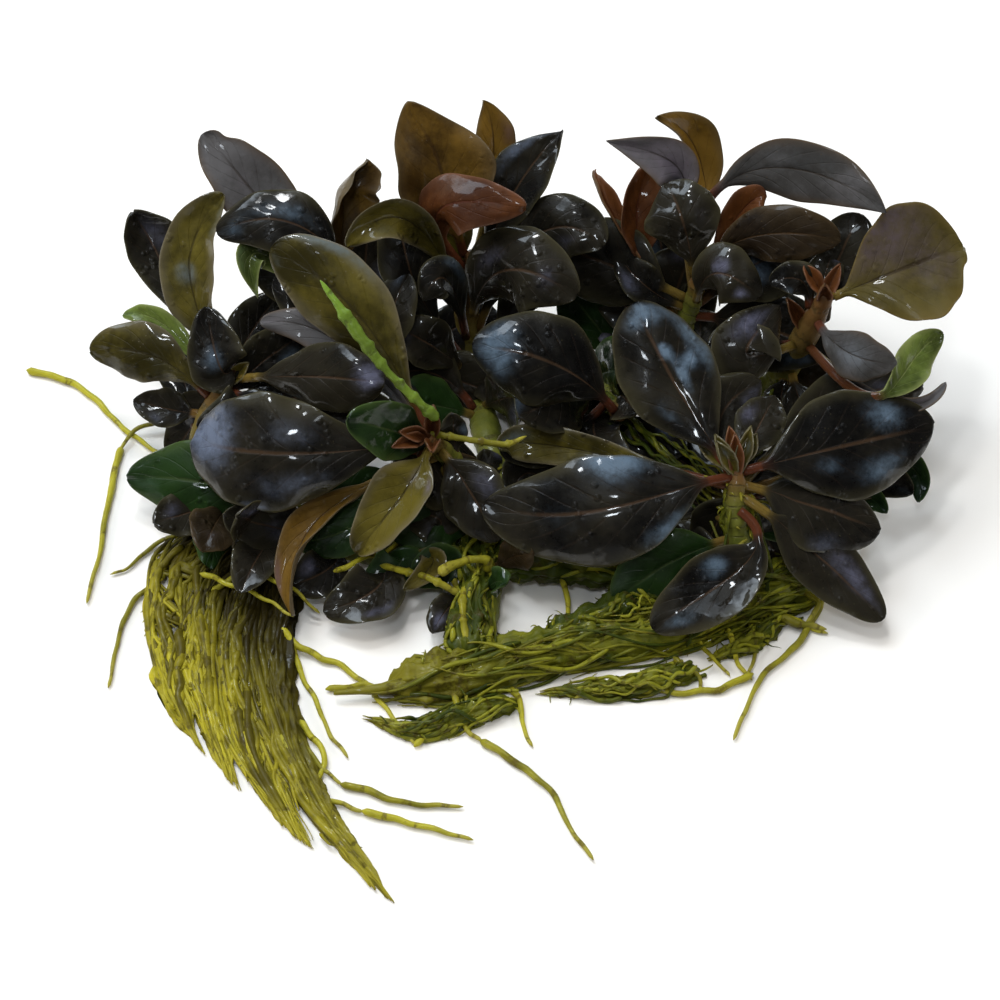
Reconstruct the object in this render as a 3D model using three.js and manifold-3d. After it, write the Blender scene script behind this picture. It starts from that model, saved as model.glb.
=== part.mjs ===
// A clump of dark, glossy aquarium plants: creeping rhizomes with short shoots, leathery leaves,
// an old flower stalk and long yellow-green roots. It lies loose on flat ground, as it was picked.
// Units are millimetres. +X is to the right and +Y to the back, seen from the front, and +Z is up.
import * as THREE from "three";
import { mergeVertices } from "three/addons/utils/BufferGeometryUtils.js";
import Module from "manifold-3d";

const wasm = await Module();
wasm.setup();

// How the places below are written. A place is [right, up, height]: millimetres to the right and
// up as seen by an eye in front of the clump that looks down on it, and millimetres above ground.
const EYE_DISTANCE = 400;
const EYE_TILT = THREE.MathUtils.degToRad(50);

// Leaves. A petiole starts GAP clear of its stem, or for a deeper leaf DEEP_ROOTED inside it, and
// flattens over FLATTENING_SHARE of the blade. Points nearer than POLE_SIZE to a leaf's middle
// line are its two ends. LEAF_SHAPE is the shape of a leaf that has no other in its row.
const LEAF_THICKNESS = 0.9;
const PETIOLE_RADIUS = 0.7;
const GAP = 0.5;
const DEEP_ROOTED = 1;
const FLATTENING_SHARE = 0.25;
const LEAF_SEGMENTS_AROUND = 8;
const LEAF_SEGMENTS_ALONG = 9;
const POLE_SIZE = 0.001;
const LEAF_SHAPE = { twist: 0, widest: 1.05, point: 0.5 };

// Rhizomes and shoots. The middle of a creeping rhizome is ON_GROUND high, less than its radius,
// so it is flat underneath. Rings of old leaf scars rise on it, and it thins towards its crown.
const RHIZOME_RADIUS = 2.4;
const ON_GROUND = 1.8;
const SHOOT_RADIUS = 1.7;
const SCAR_RINGS = 6;
const SCAR_RISE = 0.07;
const CROWN_TAPER = 0.25;
const STEM_SIDES = 8;

// The ends of stems and of the flower stalk draw in over the last tenth, to this share of the radius.
const END_SHARE = 0.1;
const END_WIDTH = 0.6;
const STALK_RADIUS = 0.8;
const STALK_STEPS = 14;

// Roots that lie by themselves thin out towards their tips.
const ROOT_RADIUS = 0.6;
const ROOT_HEIGHT = 0.65;
const ROOT_SIDES = 6;
const ROOT_STEP = 3.5;
const ROOT_TAPER = 0.55;

// A lock of roots: how high it is, how wide its start is, and how it draws out to a thin end
const LOCK_HEIGHT = 3.4;
const LOCK_STEPS = 9;
const LOCK_START_WIDTH = 0.7;
const LOCK_TAPER = 0.85;
const LOCK_TAPER_POWER = 2.5;

// The eye, the direction from the middle of the ground to it, and the way up in its picture
const TO_EYE = new THREE.Vector3(0, -Math.cos(EYE_TILT), Math.sin(EYE_TILT));
const EYE = TO_EYE.clone().multiplyScalar(EYE_DISTANCE);
const PICTURE_UP = new THREE.Vector3(0, Math.sin(EYE_TILT), Math.cos(EYE_TILT));

function place([right, up, height]) {
  // The point at this height on the line of sight through a point of the picture
  const seen = new THREE.Vector3(right, 0, 0).addScaledVector(PICTURE_UP, up);
  const share = (EYE.z - height) / (EYE.z - seen.z);
  return EYE.clone().lerp(seen, share);
}

const FINISHES = {
  dark: { color: 0x23261f, roughness: 0.25 },
  green: { color: 0x1f3a1c, roughness: 0.28 },
  olive: { color: 0x464518, roughness: 0.3 },
  brown: { color: 0x4a2f16, roughness: 0.35 },
  red: { color: 0x5a2a18, roughness: 0.35 },
  violet: { color: 0x4c4a52, roughness: 0.4 },
  rhizome: { color: 0x59611f, roughness: 0.6 },
  stalk: { color: 0x6f8f33, roughness: 0.45 },
  root: { color: 0x84832a, roughness: 0.6 },
};

// Stems: each one is a tube through its places.
const STEMS = {
  front_rhizome: {
    radius: RHIZOME_RADIUS,
    places: [
      [49, -10, ON_GROUND], [36, -16, ON_GROUND], [22, -21, ON_GROUND], [9, -23, ON_GROUND],
      [-4, -26, ON_GROUND], [-15, -28, ON_GROUND], [-25, -29, ON_GROUND],
    ],
    steps: 14,
  },
  cross_rhizome: {
    radius: RHIZOME_RADIUS,
    places: [
      [-3.5, -22.5, ON_GROUND], [-1.5, -11, ON_GROUND], [0, 1, ON_GROUND], [-2, 10, ON_GROUND],
      [-4, 19, ON_GROUND], [-5, 27, 9], [-4.5, 33, 17], [-4, 37, 22],
    ],
    steps: 16,
  },
  left_rhizome: {
    radius: RHIZOME_RADIUS,
    places: [
      [-5, -9, ON_GROUND], [-15, -8, ON_GROUND], [-27, -6, ON_GROUND], [-37, -3, ON_GROUND],
      [-43, 2, 3], [-45, 8, 7.5], [-42, 15, 12.5], [-39, 20, 15],
    ],
    steps: 16,
  },
  back_rhizome: {
    radius: RHIZOME_RADIUS,
    places: [
      [1, 15.5, ON_GROUND], [12, 18, ON_GROUND], [24, 19, ON_GROUND], [34, 17.5, ON_GROUND],
      [40, 17, 3], [43, 20, 10], [46, 25, 19], [49, 31, 27],
    ],
    steps: 16,
  },
  back_left_shoot: {
    radius: SHOOT_RADIUS,
    places: [[-8, 17.5, 2], [-15, 19, 4], [-21, 24, 11], [-25, 30, 19]],
    steps: 10,
  },
  front_left_shoot: {
    radius: SHOOT_RADIUS,
    places: [[-2.5, 1.5, 5], [-6, 5, 10], [-11, 9.5, 18]],
    steps: 8,
  },
  middle_shoot: {
    radius: SHOOT_RADIUS,
    places: [[15, 17.5, 5.5], [17, 15, 9.5], [18, 12.5, 13.5]],
    steps: 6,
  },
  back_right_shoot: {
    radius: SHOOT_RADIUS,
    places: [[26, 22, 6.2], [27, 25, 11], [29, 30, 18], [30, 34, 23]],
    steps: 8,
  },
  right_shoot: {
    radius: SHOOT_RADIUS,
    places: [[36, -12, 6.2], [35.7, -7, 10], [35.3, -1, 15], [35.5, 4.5, 19]],
    steps: 8,
  },
};

// Leaves: each grows from its stem at a share of that stem's length, through one or two places,
// to its tip. Roll turns the blade from facing the eye, twist is the further turn to the tip,
// fold lifts both halves, stalk is the petiole's share of the length, widest is over 1 where the
// blade is broadest beyond its middle, and point is 0.5 for a round tip and 1 for a sharp one.
const LEAVES = {
  left_sickle_leaf: {
    stem: "left_rhizome", at: 0.99, through: [[-46.5, 34, 25]], tip: [-41.5, 46, 34],
    width: 9.5, roll: -20, twist: 20, fold: 12, stalk: 0.1, widest: 0.9, finish: "olive",
  },
  left_upright_leaf: {
    stem: "left_rhizome", at: 0.95, through: [[-50, 34, 18]], tip: [-54.5, 43.5, 25],
    width: 9.5, roll: 15, fold: 12, stalk: 0.2, finish: "dark",
  },
  left_blunt_leaf: {
    stem: "left_rhizome", at: 0.9, through: [[-52, 21.5, 18]], tip: [-61.5, 22.5, 17],
    width: 9.5, roll: -10, fold: 14, stalk: 0.1, widest: 1.2, finish: "olive",
  },
  left_inner_leaf: {
    stem: "left_rhizome", at: 0.97, through: [[-28, 18.5, 23]], tip: [-17.5, 17.5, 25.5],
    width: 11, roll: 5, fold: 8, stalk: 0.15, finish: "dark",
  },
  left_low_leaf: {
    stem: "left_rhizome", at: 0.5, through: [[-42, 2, 8.5]], tip: [-56.5, 3.5, 8],
    width: 13.5, roll: 0, fold: 8, stalk: 0.1, finish: "green",
  },
  front_black_leaf: {
    stem: "left_rhizome", at: 0.2, through: [[-18.5, -14.5, 5]], tip: [-27, -18, 4],
    width: 11, roll: 10, fold: 10, stalk: 0.1, finish: "dark",
  },
  violet_leaf: {
    stem: "back_left_shoot", at: 0.99, through: [[-34.5, 43, 28]], tip: [-44.5, 55, 38],
    width: 11, roll: 10, fold: 8, stalk: 0.2, finish: "violet",
  },
  arched_blue_leaf: {
    stem: "back_left_shoot", at: 0.97, through: [[-26, 38, 29], [-33, 42, 33]], tip: [-42.5, 40, 31],
    width: 10.5, roll: 10, fold: 8, stalk: 0.25, finish: "dark",
  },
  curled_brown_leaf: {
    stem: "back_left_shoot", at: 0.93, through: [[-23, 43, 28]], tip: [-23.5, 51.5, 35],
    width: 10, roll: 20, twist: 30, fold: 20, stalk: 0.2, finish: "brown",
  },
  red_brown_leaf: {
    stem: "cross_rhizome", at: 0.97, through: [[-9, 43.5, 32]], tip: [4, 44, 35],
    width: 10, roll: -10, fold: 8, stalk: 0.15, finish: "red",
  },
  big_left_leaf: {
    stem: "front_left_shoot", at: 0.98, through: [[-31, 7, 20]], tip: [-47, 9, 17],
    width: 17.5, roll: -5, fold: 7, stalk: 0.1, finish: "dark",
  },
  long_olive_leaf: {
    stem: "front_left_shoot", at: 0.96, through: [[-21.5, 28, 30]], tip: [-34.5, 37.5, 37],
    width: 12.5, roll: -10, fold: 8, stalk: 0.1, widest: 1.25, finish: "olive",
  },
  hanging_leaf: {
    stem: "front_left_shoot", at: 0.9, through: [[-14.5, 1, 15]], tip: [-21.5, -8, 8],
    width: 9.5, roll: 15, fold: 16, stalk: 0.1, finish: "olive",
  },
  narrow_curled_leaf: {
    stem: "front_left_shoot", at: 0.7, through: [[-20, 2, 12], [-29, -5, 10]], tip: [-31, -17.5, 4],
    width: 6, roll: 30, twist: 40, fold: 20, stalk: 0.3, finish: "brown",
  },
  tall_brown_leaf: {
    stem: "cross_rhizome", at: 0.99, through: [[-8, 46, 31]], tip: [-11.5, 60.5, 43],
    width: 15.5, roll: 10, twist: 30, fold: 10, stalk: 0.15, widest: 1.25, point: 0.6, finish: "brown",
  },
  tall_back_leaf: {
    stem: "cross_rhizome", at: 0.96, through: [[-1, 50, 30]], tip: [-2.5, 60, 39],
    width: 7, roll: 20, fold: 12, stalk: 0.2, point: 0.9, finish: "brown",
  },
  pointed_back_leaf: {
    stem: "cross_rhizome", at: 0.93, through: [[2, 46, 29]], tip: [9.5, 55.5, 36],
    width: 9.5, roll: -15, fold: 12, stalk: 0.15, point: 1.1, finish: "dark",
  },
  grey_middle_leaf: {
    stem: "cross_rhizome", at: 0.91, through: [[7, 40.5, 27]], tip: [15.5, 38, 27],
    width: 11, roll: 0, fold: 10, stalk: 0.15, finish: "dark",
  },
  upright_middle_leaf: {
    stem: "cross_rhizome", at: 0.74, through: [[-13, 33, 21]], tip: [-14.5, 44, 27],
    width: 9, roll: 20, fold: 10, stalk: 0.2, finish: "dark",
  },
  drop_leaf: {
    stem: "cross_rhizome", at: 0.86, through: [[1, 34.5, 26.5]], tip: [11.5, 30.5, 25.5],
    width: 14, roll: 5, fold: 6, stalk: 0.05, finish: "dark",
  },
  big_middle_leaf: {
    stem: "middle_shoot", at: 0.95, through: [[8, 20.5, 22]], tip: [-4.5, 23, 23.5],
    width: 15, roll: 0, fold: 7, stalk: 0.1, finish: "dark",
  },
  long_grey_leaf: {
    stem: "back_right_shoot", at: 0.9, through: [[33, 47, 33], [45, 49.5, 38]], tip: [58, 43, 36.5],
    width: 9.5, roll: 25, fold: 12, stalk: 0.33, point: 0.9, finish: "violet",
  },
  pale_turned_leaf: {
    stem: "back_right_shoot", at: 0.8, through: [[28, 44.5, 29.5], [26, 50.5, 35.5]], tip: [16, 54, 38],
    width: 7.5, roll: -20, fold: 16, stalk: 0.33, point: 0.9, finish: "violet",
  },
  hooked_leaf: {
    stem: "back_right_shoot", at: 0.7, through: [[30.5, 49, 28.5]], tip: [23.5, 58.5, 40],
    width: 7.5, roll: 15, twist: 30, fold: 14, stalk: 0.3, point: 0.9, finish: "brown",
  },
  young_red_leaf: {
    stem: "back_right_shoot", at: 0.45, through: [[21.5, 36, 22], [20.5, 43, 28]], tip: [22, 50, 32.5],
    width: 8, roll: 20, fold: 18, stalk: 0.3, finish: "red",
  },
  dark_back_leaf: {
    stem: "back_right_shoot", at: 0.99, through: [[27.5, 41.5, 32]], tip: [25, 47.5, 34.5],
    width: 12, roll: -10, fold: 10, stalk: 0.1, finish: "dark",
  },
  glossy_back_leaf: {
    stem: "back_right_shoot", at: 0.76, through: [[32.5, 34, 28]], tip: [39, 30.5, 26],
    width: 10, roll: 0, fold: 8, stalk: 0.1, finish: "dark",
  },
  round_brown_leaf: {
    stem: "back_right_shoot", at: 0.93, through: [[35, 38.5, 29], [43, 40, 33]], tip: [51, 39, 32],
    width: 9, roll: 10, fold: 8, stalk: 0.2, finish: "brown",
  },
  two_lobed_leaf: {
    stem: "back_rhizome", at: 0.99, through: [[60, 34.5, 29]], tip: [69.5, 38, 30],
    width: 18, roll: -5, fold: 16, stalk: 0.05, widest: 1.25, finish: "violet",
  },
  grey_right_leaf: {
    stem: "back_rhizome", at: 0.93, through: [[52.5, 22, 26]], tip: [59.5, 20.5, 26],
    width: 7.5, roll: 20, fold: 12, stalk: 0.1, finish: "violet",
  },
  pale_green_leaf: {
    stem: "back_rhizome", at: 0.86, through: [[56, 15.5, 22], [61, 19.5, 23]], tip: [66.5, 25, 24],
    width: 6, roll: 10, fold: 12, stalk: 0.4, finish: "green",
  },
  spotted_leaf: {
    stem: "right_shoot", at: 0.97, through: [[26, 18, 27]], tip: [20, 29.5, 33],
    width: 15, roll: 5, fold: 8, stalk: 0.1, finish: "dark",
  },
  long_left_pointing_leaf: {
    stem: "right_shoot", at: 0.93, through: [[25, 1, 19], [12, -2, 17]], tip: [-2.5, -0.5, 14],
    width: 16.5, roll: 0, fold: 7, stalk: 0.15, finish: "dark",
  },
  big_right_leaf: {
    stem: "right_shoot", at: 0.99, through: [[51, 8, 20]], tip: [65, 11, 18],
    width: 16.5, roll: 0, fold: 7, stalk: 0.1, finish: "dark",
  },
  right_under_leaf: {
    stem: "right_shoot", at: 0.85, through: [[50, 14, 14]], tip: [63.5, 17, 15],
    width: 10, roll: 0, fold: 8, stalk: 0.15, finish: "dark",
  },
  low_right_leaf: {
    stem: "right_shoot", at: 0.75, through: [[42, -3.5, 14], [49.5, -10, 9]], tip: [57.5, -18, 4],
    width: 9.5, roll: -10, fold: 9, stalk: 0.25, finish: "dark",
  },
  low_front_leaf: {
    stem: "right_shoot", at: 0.65, through: [[38, -8, 12.5], [31, -14, 9]], tip: [23, -19.5, 5],
    width: 10, roll: 10, fold: 9, stalk: 0.2, finish: "dark",
  },
};

// Smaller leaves stand deeper in the clump, behind those above. Each is one body with its stem.
const DEEP_LEAVES = {
  left_rhizome: [
    { at: 0.93, through: [[-38, 24, 14]], tip: [-33, 31, 17], width: 8 },
    { at: 0.85, through: [[-49, 13.5, 10]], tip: [-55, 15, 10], width: 6 },
    { at: 0.8, through: [[-47.5, 18, 9]], tip: [-51, 24, 11], width: 7 },
    { at: 0.46, through: [[-36, -8, 6.5]], tip: [-39, -14, 6], width: 7 },
    { at: 0.6, through: [[-36, 6, 8]], tip: [-31, 13, 11], width: 9 },
    { at: 0.12, through: [[-9, -3, 6.5]], tip: [-16, -2, 7], width: 8 },
  ],
  back_left_shoot: [
    { at: 0.55, through: [[-26, 25, 14]], tip: [-33, 26, 17], width: 8 },
  ],
  cross_rhizome: [
    { at: 0.6, through: [[-10, 19, 8]], tip: [-17, 18, 11], width: 9 },
    { at: 0.7, through: [[-10, 23, 13]], tip: [-16, 26, 16], width: 8 },
    { at: 0.62, through: [[5, 20, 9]], tip: [13, 23, 12], width: 10 },
    { at: 0.72, through: [[4.5, 33, 15]], tip: [12, 38, 17], width: 9 },
    { at: 0.12, through: [[-7.5, -16, 3.6]], tip: [-10, -20, 3.6], width: 5 },
  ],
  middle_shoot: [
    { at: 0.5, through: [[9, 9.5, 9]], tip: [0, 7.5, 10], width: 8 },
    { at: 0.8, through: [[23, 10, 11]], tip: [28, 7, 12], width: 7 },
  ],
  back_right_shoot: [
    { at: 0.25, through: [[20.5, 28, 12]], tip: [14.5, 32, 14], width: 8 },
  ],
  back_rhizome: [
    { at: 0.42, through: [[20, 24, 8]], tip: [16, 30, 10], width: 9 },
    { at: 0.6, through: [[37, 24, 10]], tip: [40, 31, 14], width: 9 },
    { at: 0.84, through: [[38, 23, 19]], tip: [31, 23, 20], width: 10 },
    { at: 0.72, through: [[48, 14, 9]], tip: [55, 12, 9.5], width: 9 },
  ],
  right_shoot: [
    { at: 0.95, through: [[34.5, 12, 17]], tip: [36, 19, 18], width: 8 },
    { at: 0.55, through: [[50, 4, 8]], tip: [62, 1, 6], width: 8 },
    { at: 0.35, through: [[29, -7, 7]], tip: [22, -6, 7], width: 8 },
  ],
};
const DEEP_LEAF_SHAPE = { roll: 5, fold: 8, stalk: 0.15 };
const DEEP_SEGMENTS_AROUND = 6;
const DEEP_SEGMENTS_ALONG = 5;

// The old flower stalk rises from the front left shoot, above its leaves.
const STALK_PLACES = [[-9.3, 12, 21.5], [-12.5, 15, 25], [-17.5, 20, 29.5], [-27, 33, 38.5]];

// Roots that lie on the ground by themselves
const ROOTS = {
  far_left_root: [[-71, 19.5], [-64, 17.5], [-55.5, 10], [-50, 6], [-46.3, 2]],
  left_edge_root: [[-56.8, 8], [-58.3, 2], [-60, -7.5], [-62, -15.5]],
  upper_pale_root: [[-24, -42.6], [-20, -43.5], [-15, -45.3], [-5.5, -46]],
  lower_pale_root: [[-20.8, -46.6], [-14, -48.3], [-4, -51]],
  long_front_root: [[-3, -36], [-0.5, -37.5], [7, -43], [10.5, -49], [14, -54]],
  right_root: [[47, -14], [48, -15], [45, -21], [39, -27], [35, -36]],
};

// The brush of roots on the left and the mat under the front rhizome lie on the ground in locks.
const ROOT_LOCKS = {
  brush_lock_1: {
    places: [[-45, -3.5], [-50.5, -9], [-52.5, -18], [-51, -28], [-45.5, -37]],
    width: 6.6,
  },
  brush_lock_2: {
    places: [[-39.5, -7], [-44.3, -14], [-45.5, -23], [-44.5, -32], [-40.5, -42.5]],
    width: 6.6,
  },
  brush_lock_3: {
    places: [[-35.3, -10], [-38.7, -18], [-39.3, -28], [-36.7, -40], [-30.5, -51]],
    width: 6.6,
  },
  brush_lock_4: {
    places: [[-30, -11.5], [-32, -21], [-31.5, -33], [-25.5, -47], [-16, -60.5]],
    width: 6.6,
  },
  mat_lock_left: { places: [[3, -30.5], [-5, -32.5], [-12, -35], [-20, -33]], width: 4.5 },
  mat_lock_middle: { places: [[30, -25.5], [22, -28], [14, -28.8], [6, -29]], width: 4 },
  mat_lock_right: { places: [[43, -17.5], [37, -22], [31.5, -24]], width: 3.4 },
};

function material(finish) {
  const { color, roughness } = FINISHES[finish];
  return new THREE.MeshStandardMaterial({ color, roughness, metalness: 0 });
}

function bare(geometry) {
  // Only shared positions are left, so that neighbouring triangles share their vertices.
  const plain = geometry.clone();
  plain.deleteAttribute("normal");
  plain.deleteAttribute("uv");
  return mergeVertices(plain);
}

function solidOf(geometry) {
  const plain = bare(geometry);
  return new wasm.Manifold(new wasm.Mesh({
    numProp: 3,
    vertProperties: new Float32Array(plain.attributes.position.array),
    triVerts: new Uint32Array(plain.index.array),
  }));
}

function geometryOf(solid) {
  const mesh = solid.getMesh();
  const geometry = new THREE.BufferGeometry();
  geometry.setAttribute("position", new THREE.BufferAttribute(mesh.vertProperties, 3));
  geometry.setIndex(new THREE.BufferAttribute(mesh.triVerts, 1));
  return geometry;
}

function cutAtGround(geometry) {
  const size = 4 * EYE_DISTANCE;
  const ground = new THREE.BoxGeometry(size, size, size).translate(0, 0, -size / 2);
  return geometryOf(solidOf(geometry).subtract(solidOf(ground)));
}

function tube(path, section, steps, swell) {
  // A section carried along a path, made thicker or thinner at each step by swell(share)
  const geometry = bare(new THREE.ExtrudeGeometry(section, {
    steps, extrudePath: path, bevelEnabled: false,
  }));
  const centres = path.getSpacedPoints(steps);
  const positions = geometry.attributes.position;
  const vertex = new THREE.Vector3();
  for (let i = 0; i < positions.count; i += 1) {
    vertex.fromBufferAttribute(positions, i);
    const distances = centres.map((centre) => centre.distanceTo(vertex));
    const nearest = distances.indexOf(Math.min(...distances));
    const centre = centres[nearest];
    vertex.sub(centre).multiplyScalar(swell(nearest / steps)).add(centre);
    positions.setXYZ(i, vertex.x, vertex.y, vertex.z);
  }
  return geometry;
}

function roundSection(radius, sides) {
  const corners = Array.from({ length: sides }, (_, i) => {
    const angle = (2 * Math.PI * (i + 0.5)) / sides;
    return new THREE.Vector2(radius * Math.cos(angle), radius * Math.sin(angle));
  });
  return new THREE.Shape(corners);
}

function roundedEnds(share) {
  const toEnd = Math.min(1, Math.min(share, 1 - share) / END_SHARE);
  return THREE.MathUtils.lerp(END_WIDTH, 1, Math.sqrt(toEnd));
}

function stemPath(stem) {
  return new THREE.CatmullRomCurve3(STEMS[stem].places.map(place));
}

function stemRadius(stem, share) {
  const { radius } = STEMS[stem];
  const rings = 1 + SCAR_RISE * Math.sin(2 * Math.PI * SCAR_RINGS * share);
  const towardsCrown = 1 - CROWN_TAPER * share ** 2;
  return radius * rings * towardsCrown;
}

function stemGeometry(stem) {
  const { radius, steps } = STEMS[stem];
  const swell = (share) => (stemRadius(stem, share) / radius) * roundedEnds(share);
  const bareStem = cutAtGround(tube(stemPath(stem), roundSection(radius, STEM_SIDES), steps, swell));
  const leaves = (DEEP_LEAVES[stem] ?? []).map((leaf) => solidOf(deepLeafGeometry({ stem, ...leaf })));
  return geometryOf(leaves.reduce((joined, leaf) => joined.add(leaf), solidOf(bareStem)));
}

function centreline(base, through, tip) {
  // A Bezier curve that passes through one place half way, or through two at its thirds. The
  // weights are those that solve the curve's equation for the points that pull it.
  if (through.length === 1) {
    const pull = through[0].clone().multiplyScalar(2)
      .addScaledVector(base, -1 / 2)
      .addScaledVector(tip, -1 / 2);
    return new THREE.QuadraticBezierCurve3(base, pull, tip);
  }
  const [first, second] = through;
  const pulls = [[base, first, second, tip], [tip, second, first, base]].map(([a, b, c, d]) => (
    b.clone().multiplyScalar(3)
      .addScaledVector(a, -5 / 6)
      .addScaledVector(c, -3 / 2)
      .addScaledVector(d, 1 / 3)
  ));
  return new THREE.CubicBezierCurve3(base, pulls[0], pulls[1], tip);
}

function leafBase(leaf, through, clearance) {
  // The petiole starts this far from the skin of its stem, on the side that the leaf goes to.
  const path = stemPath(leaf.stem);
  const centre = path.getPointAt(leaf.at);
  const along = path.getTangentAt(leaf.at);
  const outward = through.clone().sub(centre);
  outward.addScaledVector(along, -outward.dot(along)).normalize();
  return centre.addScaledVector(outward, stemRadius(leaf.stem, leaf.at) + clearance);
}

function leafGeometry(leaf) {
  return shapedLeaf(leaf, GAP, new THREE.SphereGeometry(1, LEAF_SEGMENTS_AROUND, LEAF_SEGMENTS_ALONG));
}

function deepLeafGeometry(leaf) {
  const ball = new THREE.SphereGeometry(1, DEEP_SEGMENTS_AROUND, DEEP_SEGMENTS_ALONG);
  return shapedLeaf({ ...DEEP_LEAF_SHAPE, ...leaf }, -DEEP_ROOTED, ball);
}

function shapedLeaf(leaf, clearance, ball) {
  // A ball is drawn out along the leaf's line: its poles are the two ends, its equator the rim.
  const { width, roll, twist, fold, stalk, widest, point } = { ...LEAF_SHAPE, ...leaf };
  const through = leaf.through.map(place);
  const line = centreline(leafBase(leaf, through[0], clearance), through, place(leaf.tip));
  const geometry = bare(ball);
  const positions = geometry.attributes.position;
  const lift = Math.sin(THREE.MathUtils.degToRad(fold));
  for (let i = 0; i < positions.count; i += 1) {
    const t = (1 - positions.getY(i)) / 2;
    const round = Math.hypot(positions.getX(i), positions.getZ(i));
    const atEnd = round < POLE_SIZE;
    const across = atEnd ? 0 : positions.getX(i) / round;
    const upward = atEnd ? 0 : positions.getZ(i) / round;
    const blade = THREE.MathUtils.clamp((t - stalk) / (1 - stalk), 0, 1);
    const swell = Math.sin(Math.PI * blade ** widest) ** THREE.MathUtils.lerp(1, point, blade);
    const halfWidth = Math.max((width / 2) * swell, PETIOLE_RADIUS * (1 - blade));
    const flattened = Math.min(1, blade / FLATTENING_SHARE);
    const halfThickness = THREE.MathUtils.lerp(PETIOLE_RADIUS, LEAF_THICKNESS / 2, flattened);

    const along = line.getTangent(t);
    const facing = TO_EYE.clone().addScaledVector(along, -TO_EYE.dot(along)).normalize();
    facing.applyAxisAngle(along, THREE.MathUtils.degToRad(roll + twist * (t - 0.5)));
    const sideways = facing.clone().cross(along);
    const rise = halfThickness * upward + halfWidth * Math.abs(across) * lift;
    const vertex = line.getPoint(t)
      .addScaledVector(sideways, halfWidth * across)
      .addScaledVector(facing, rise);
    positions.setXYZ(i, vertex.x, vertex.y, vertex.z);
  }
  return geometry;
}

function rootGeometry(places) {
  const path = new THREE.CatmullRomCurve3(places.map(([right, up]) => place([right, up, ROOT_HEIGHT])));
  const steps = Math.round(path.getLength() / ROOT_STEP);
  return tube(path, roundSection(ROOT_RADIUS, ROOT_SIDES), steps, (share) => 1 - ROOT_TAPER * share);
}

function lockGeometry({ places, width }) {
  const path = new THREE.CatmullRomCurve3(places.map(([right, up]) => place([right, up, 0])));
  const section = roundSection(width / 2, STEM_SIDES);
  const swell = (share) => (
    Math.min(1, LOCK_START_WIDTH + share) * (1 - LOCK_TAPER * share ** LOCK_TAPER_POWER)
  );
  const lock = tube(path, section, LOCK_STEPS, swell);
  lock.scale(1, 1, LOCK_HEIGHT / (width / 2));
  return cutAtGround(lock);
}

const clump = new THREE.Group();

function add(name, geometry, finish) {
  const mesh = new THREE.Mesh(geometry, material(finish));
  mesh.name = name;
  clump.add(mesh);
}

for (const stem of Object.keys(STEMS)) {
  add(stem, stemGeometry(stem), "rhizome");
}
for (const [name, leaf] of Object.entries(LEAVES)) {
  add(name, leafGeometry(leaf), leaf.finish);
}
const stalkPath = new THREE.CatmullRomCurve3(STALK_PLACES.map(place));
const stalkSection = roundSection(STALK_RADIUS, ROOT_SIDES);
add("flower_stalk", tube(stalkPath, stalkSection, STALK_STEPS, roundedEnds), "stalk");
for (const [name, places] of Object.entries(ROOTS)) {
  add(name, rootGeometry(places), "root");
}
for (const [name, lock] of Object.entries(ROOT_LOCKS)) {
  add(name, lockGeometry(lock), "root");
}

export default clump;
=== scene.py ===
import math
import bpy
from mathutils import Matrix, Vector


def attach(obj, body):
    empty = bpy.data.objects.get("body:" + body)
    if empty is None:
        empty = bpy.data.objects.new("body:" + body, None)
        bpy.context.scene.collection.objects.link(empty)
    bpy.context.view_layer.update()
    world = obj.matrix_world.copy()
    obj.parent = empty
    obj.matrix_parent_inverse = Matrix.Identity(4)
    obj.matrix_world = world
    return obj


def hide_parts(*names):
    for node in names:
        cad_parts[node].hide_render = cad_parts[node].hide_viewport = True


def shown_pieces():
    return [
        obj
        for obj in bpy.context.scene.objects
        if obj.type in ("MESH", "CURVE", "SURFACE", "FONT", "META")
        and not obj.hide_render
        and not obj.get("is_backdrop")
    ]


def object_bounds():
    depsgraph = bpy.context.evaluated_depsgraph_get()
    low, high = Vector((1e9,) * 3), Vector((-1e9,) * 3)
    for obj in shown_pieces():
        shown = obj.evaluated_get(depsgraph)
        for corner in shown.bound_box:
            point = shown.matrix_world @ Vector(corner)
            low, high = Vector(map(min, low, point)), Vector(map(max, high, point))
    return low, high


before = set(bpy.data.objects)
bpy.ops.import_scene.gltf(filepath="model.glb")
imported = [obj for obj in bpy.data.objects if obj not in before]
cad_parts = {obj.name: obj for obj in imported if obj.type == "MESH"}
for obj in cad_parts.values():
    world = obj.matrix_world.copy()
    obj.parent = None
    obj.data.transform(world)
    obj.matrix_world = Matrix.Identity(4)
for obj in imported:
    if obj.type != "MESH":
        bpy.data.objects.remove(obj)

# %% [markdown]
# A clump of a small rhizome plant, as it is lifted out of an aquarium: creeping rhizomes, short
# shoots with dark leathery leaves, an old flower stalk, and long yellow-green roots. The frame
# holds it as plain solids, one for each leaf, stem, free root and lock of roots. This script
# builds the fine surface in their place: each real leaf gets its own curved blade with veins,
# and each lock of roots gets its single roots. Everything is mesh made from arrays of points,
# because a leaf is best described by a formula along and across its blade.

# %% Tools and units
import zlib

import bpy
import numpy as np
from mathutils import Vector
from mathutils.bvhtree import BVHTree

MM = 0.001
# About a full turn, for waves that may start anywhere
TURN = 6.28
cad_low, cad_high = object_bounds()
print("the solids reach from", [round(v / MM, 1) for v in cad_low], "to", [round(v / MM, 1) for v in cad_high])


def draws_for(name):
    """The random numbers of one piece. Its name is the seed, so it always looks the same."""
    return np.random.default_rng(zlib.crc32(name.encode()))


def unit(vectors):
    """The same directions, one long."""
    return vectors / np.linalg.norm(vectors, axis=-1, keepdims=True)


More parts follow.
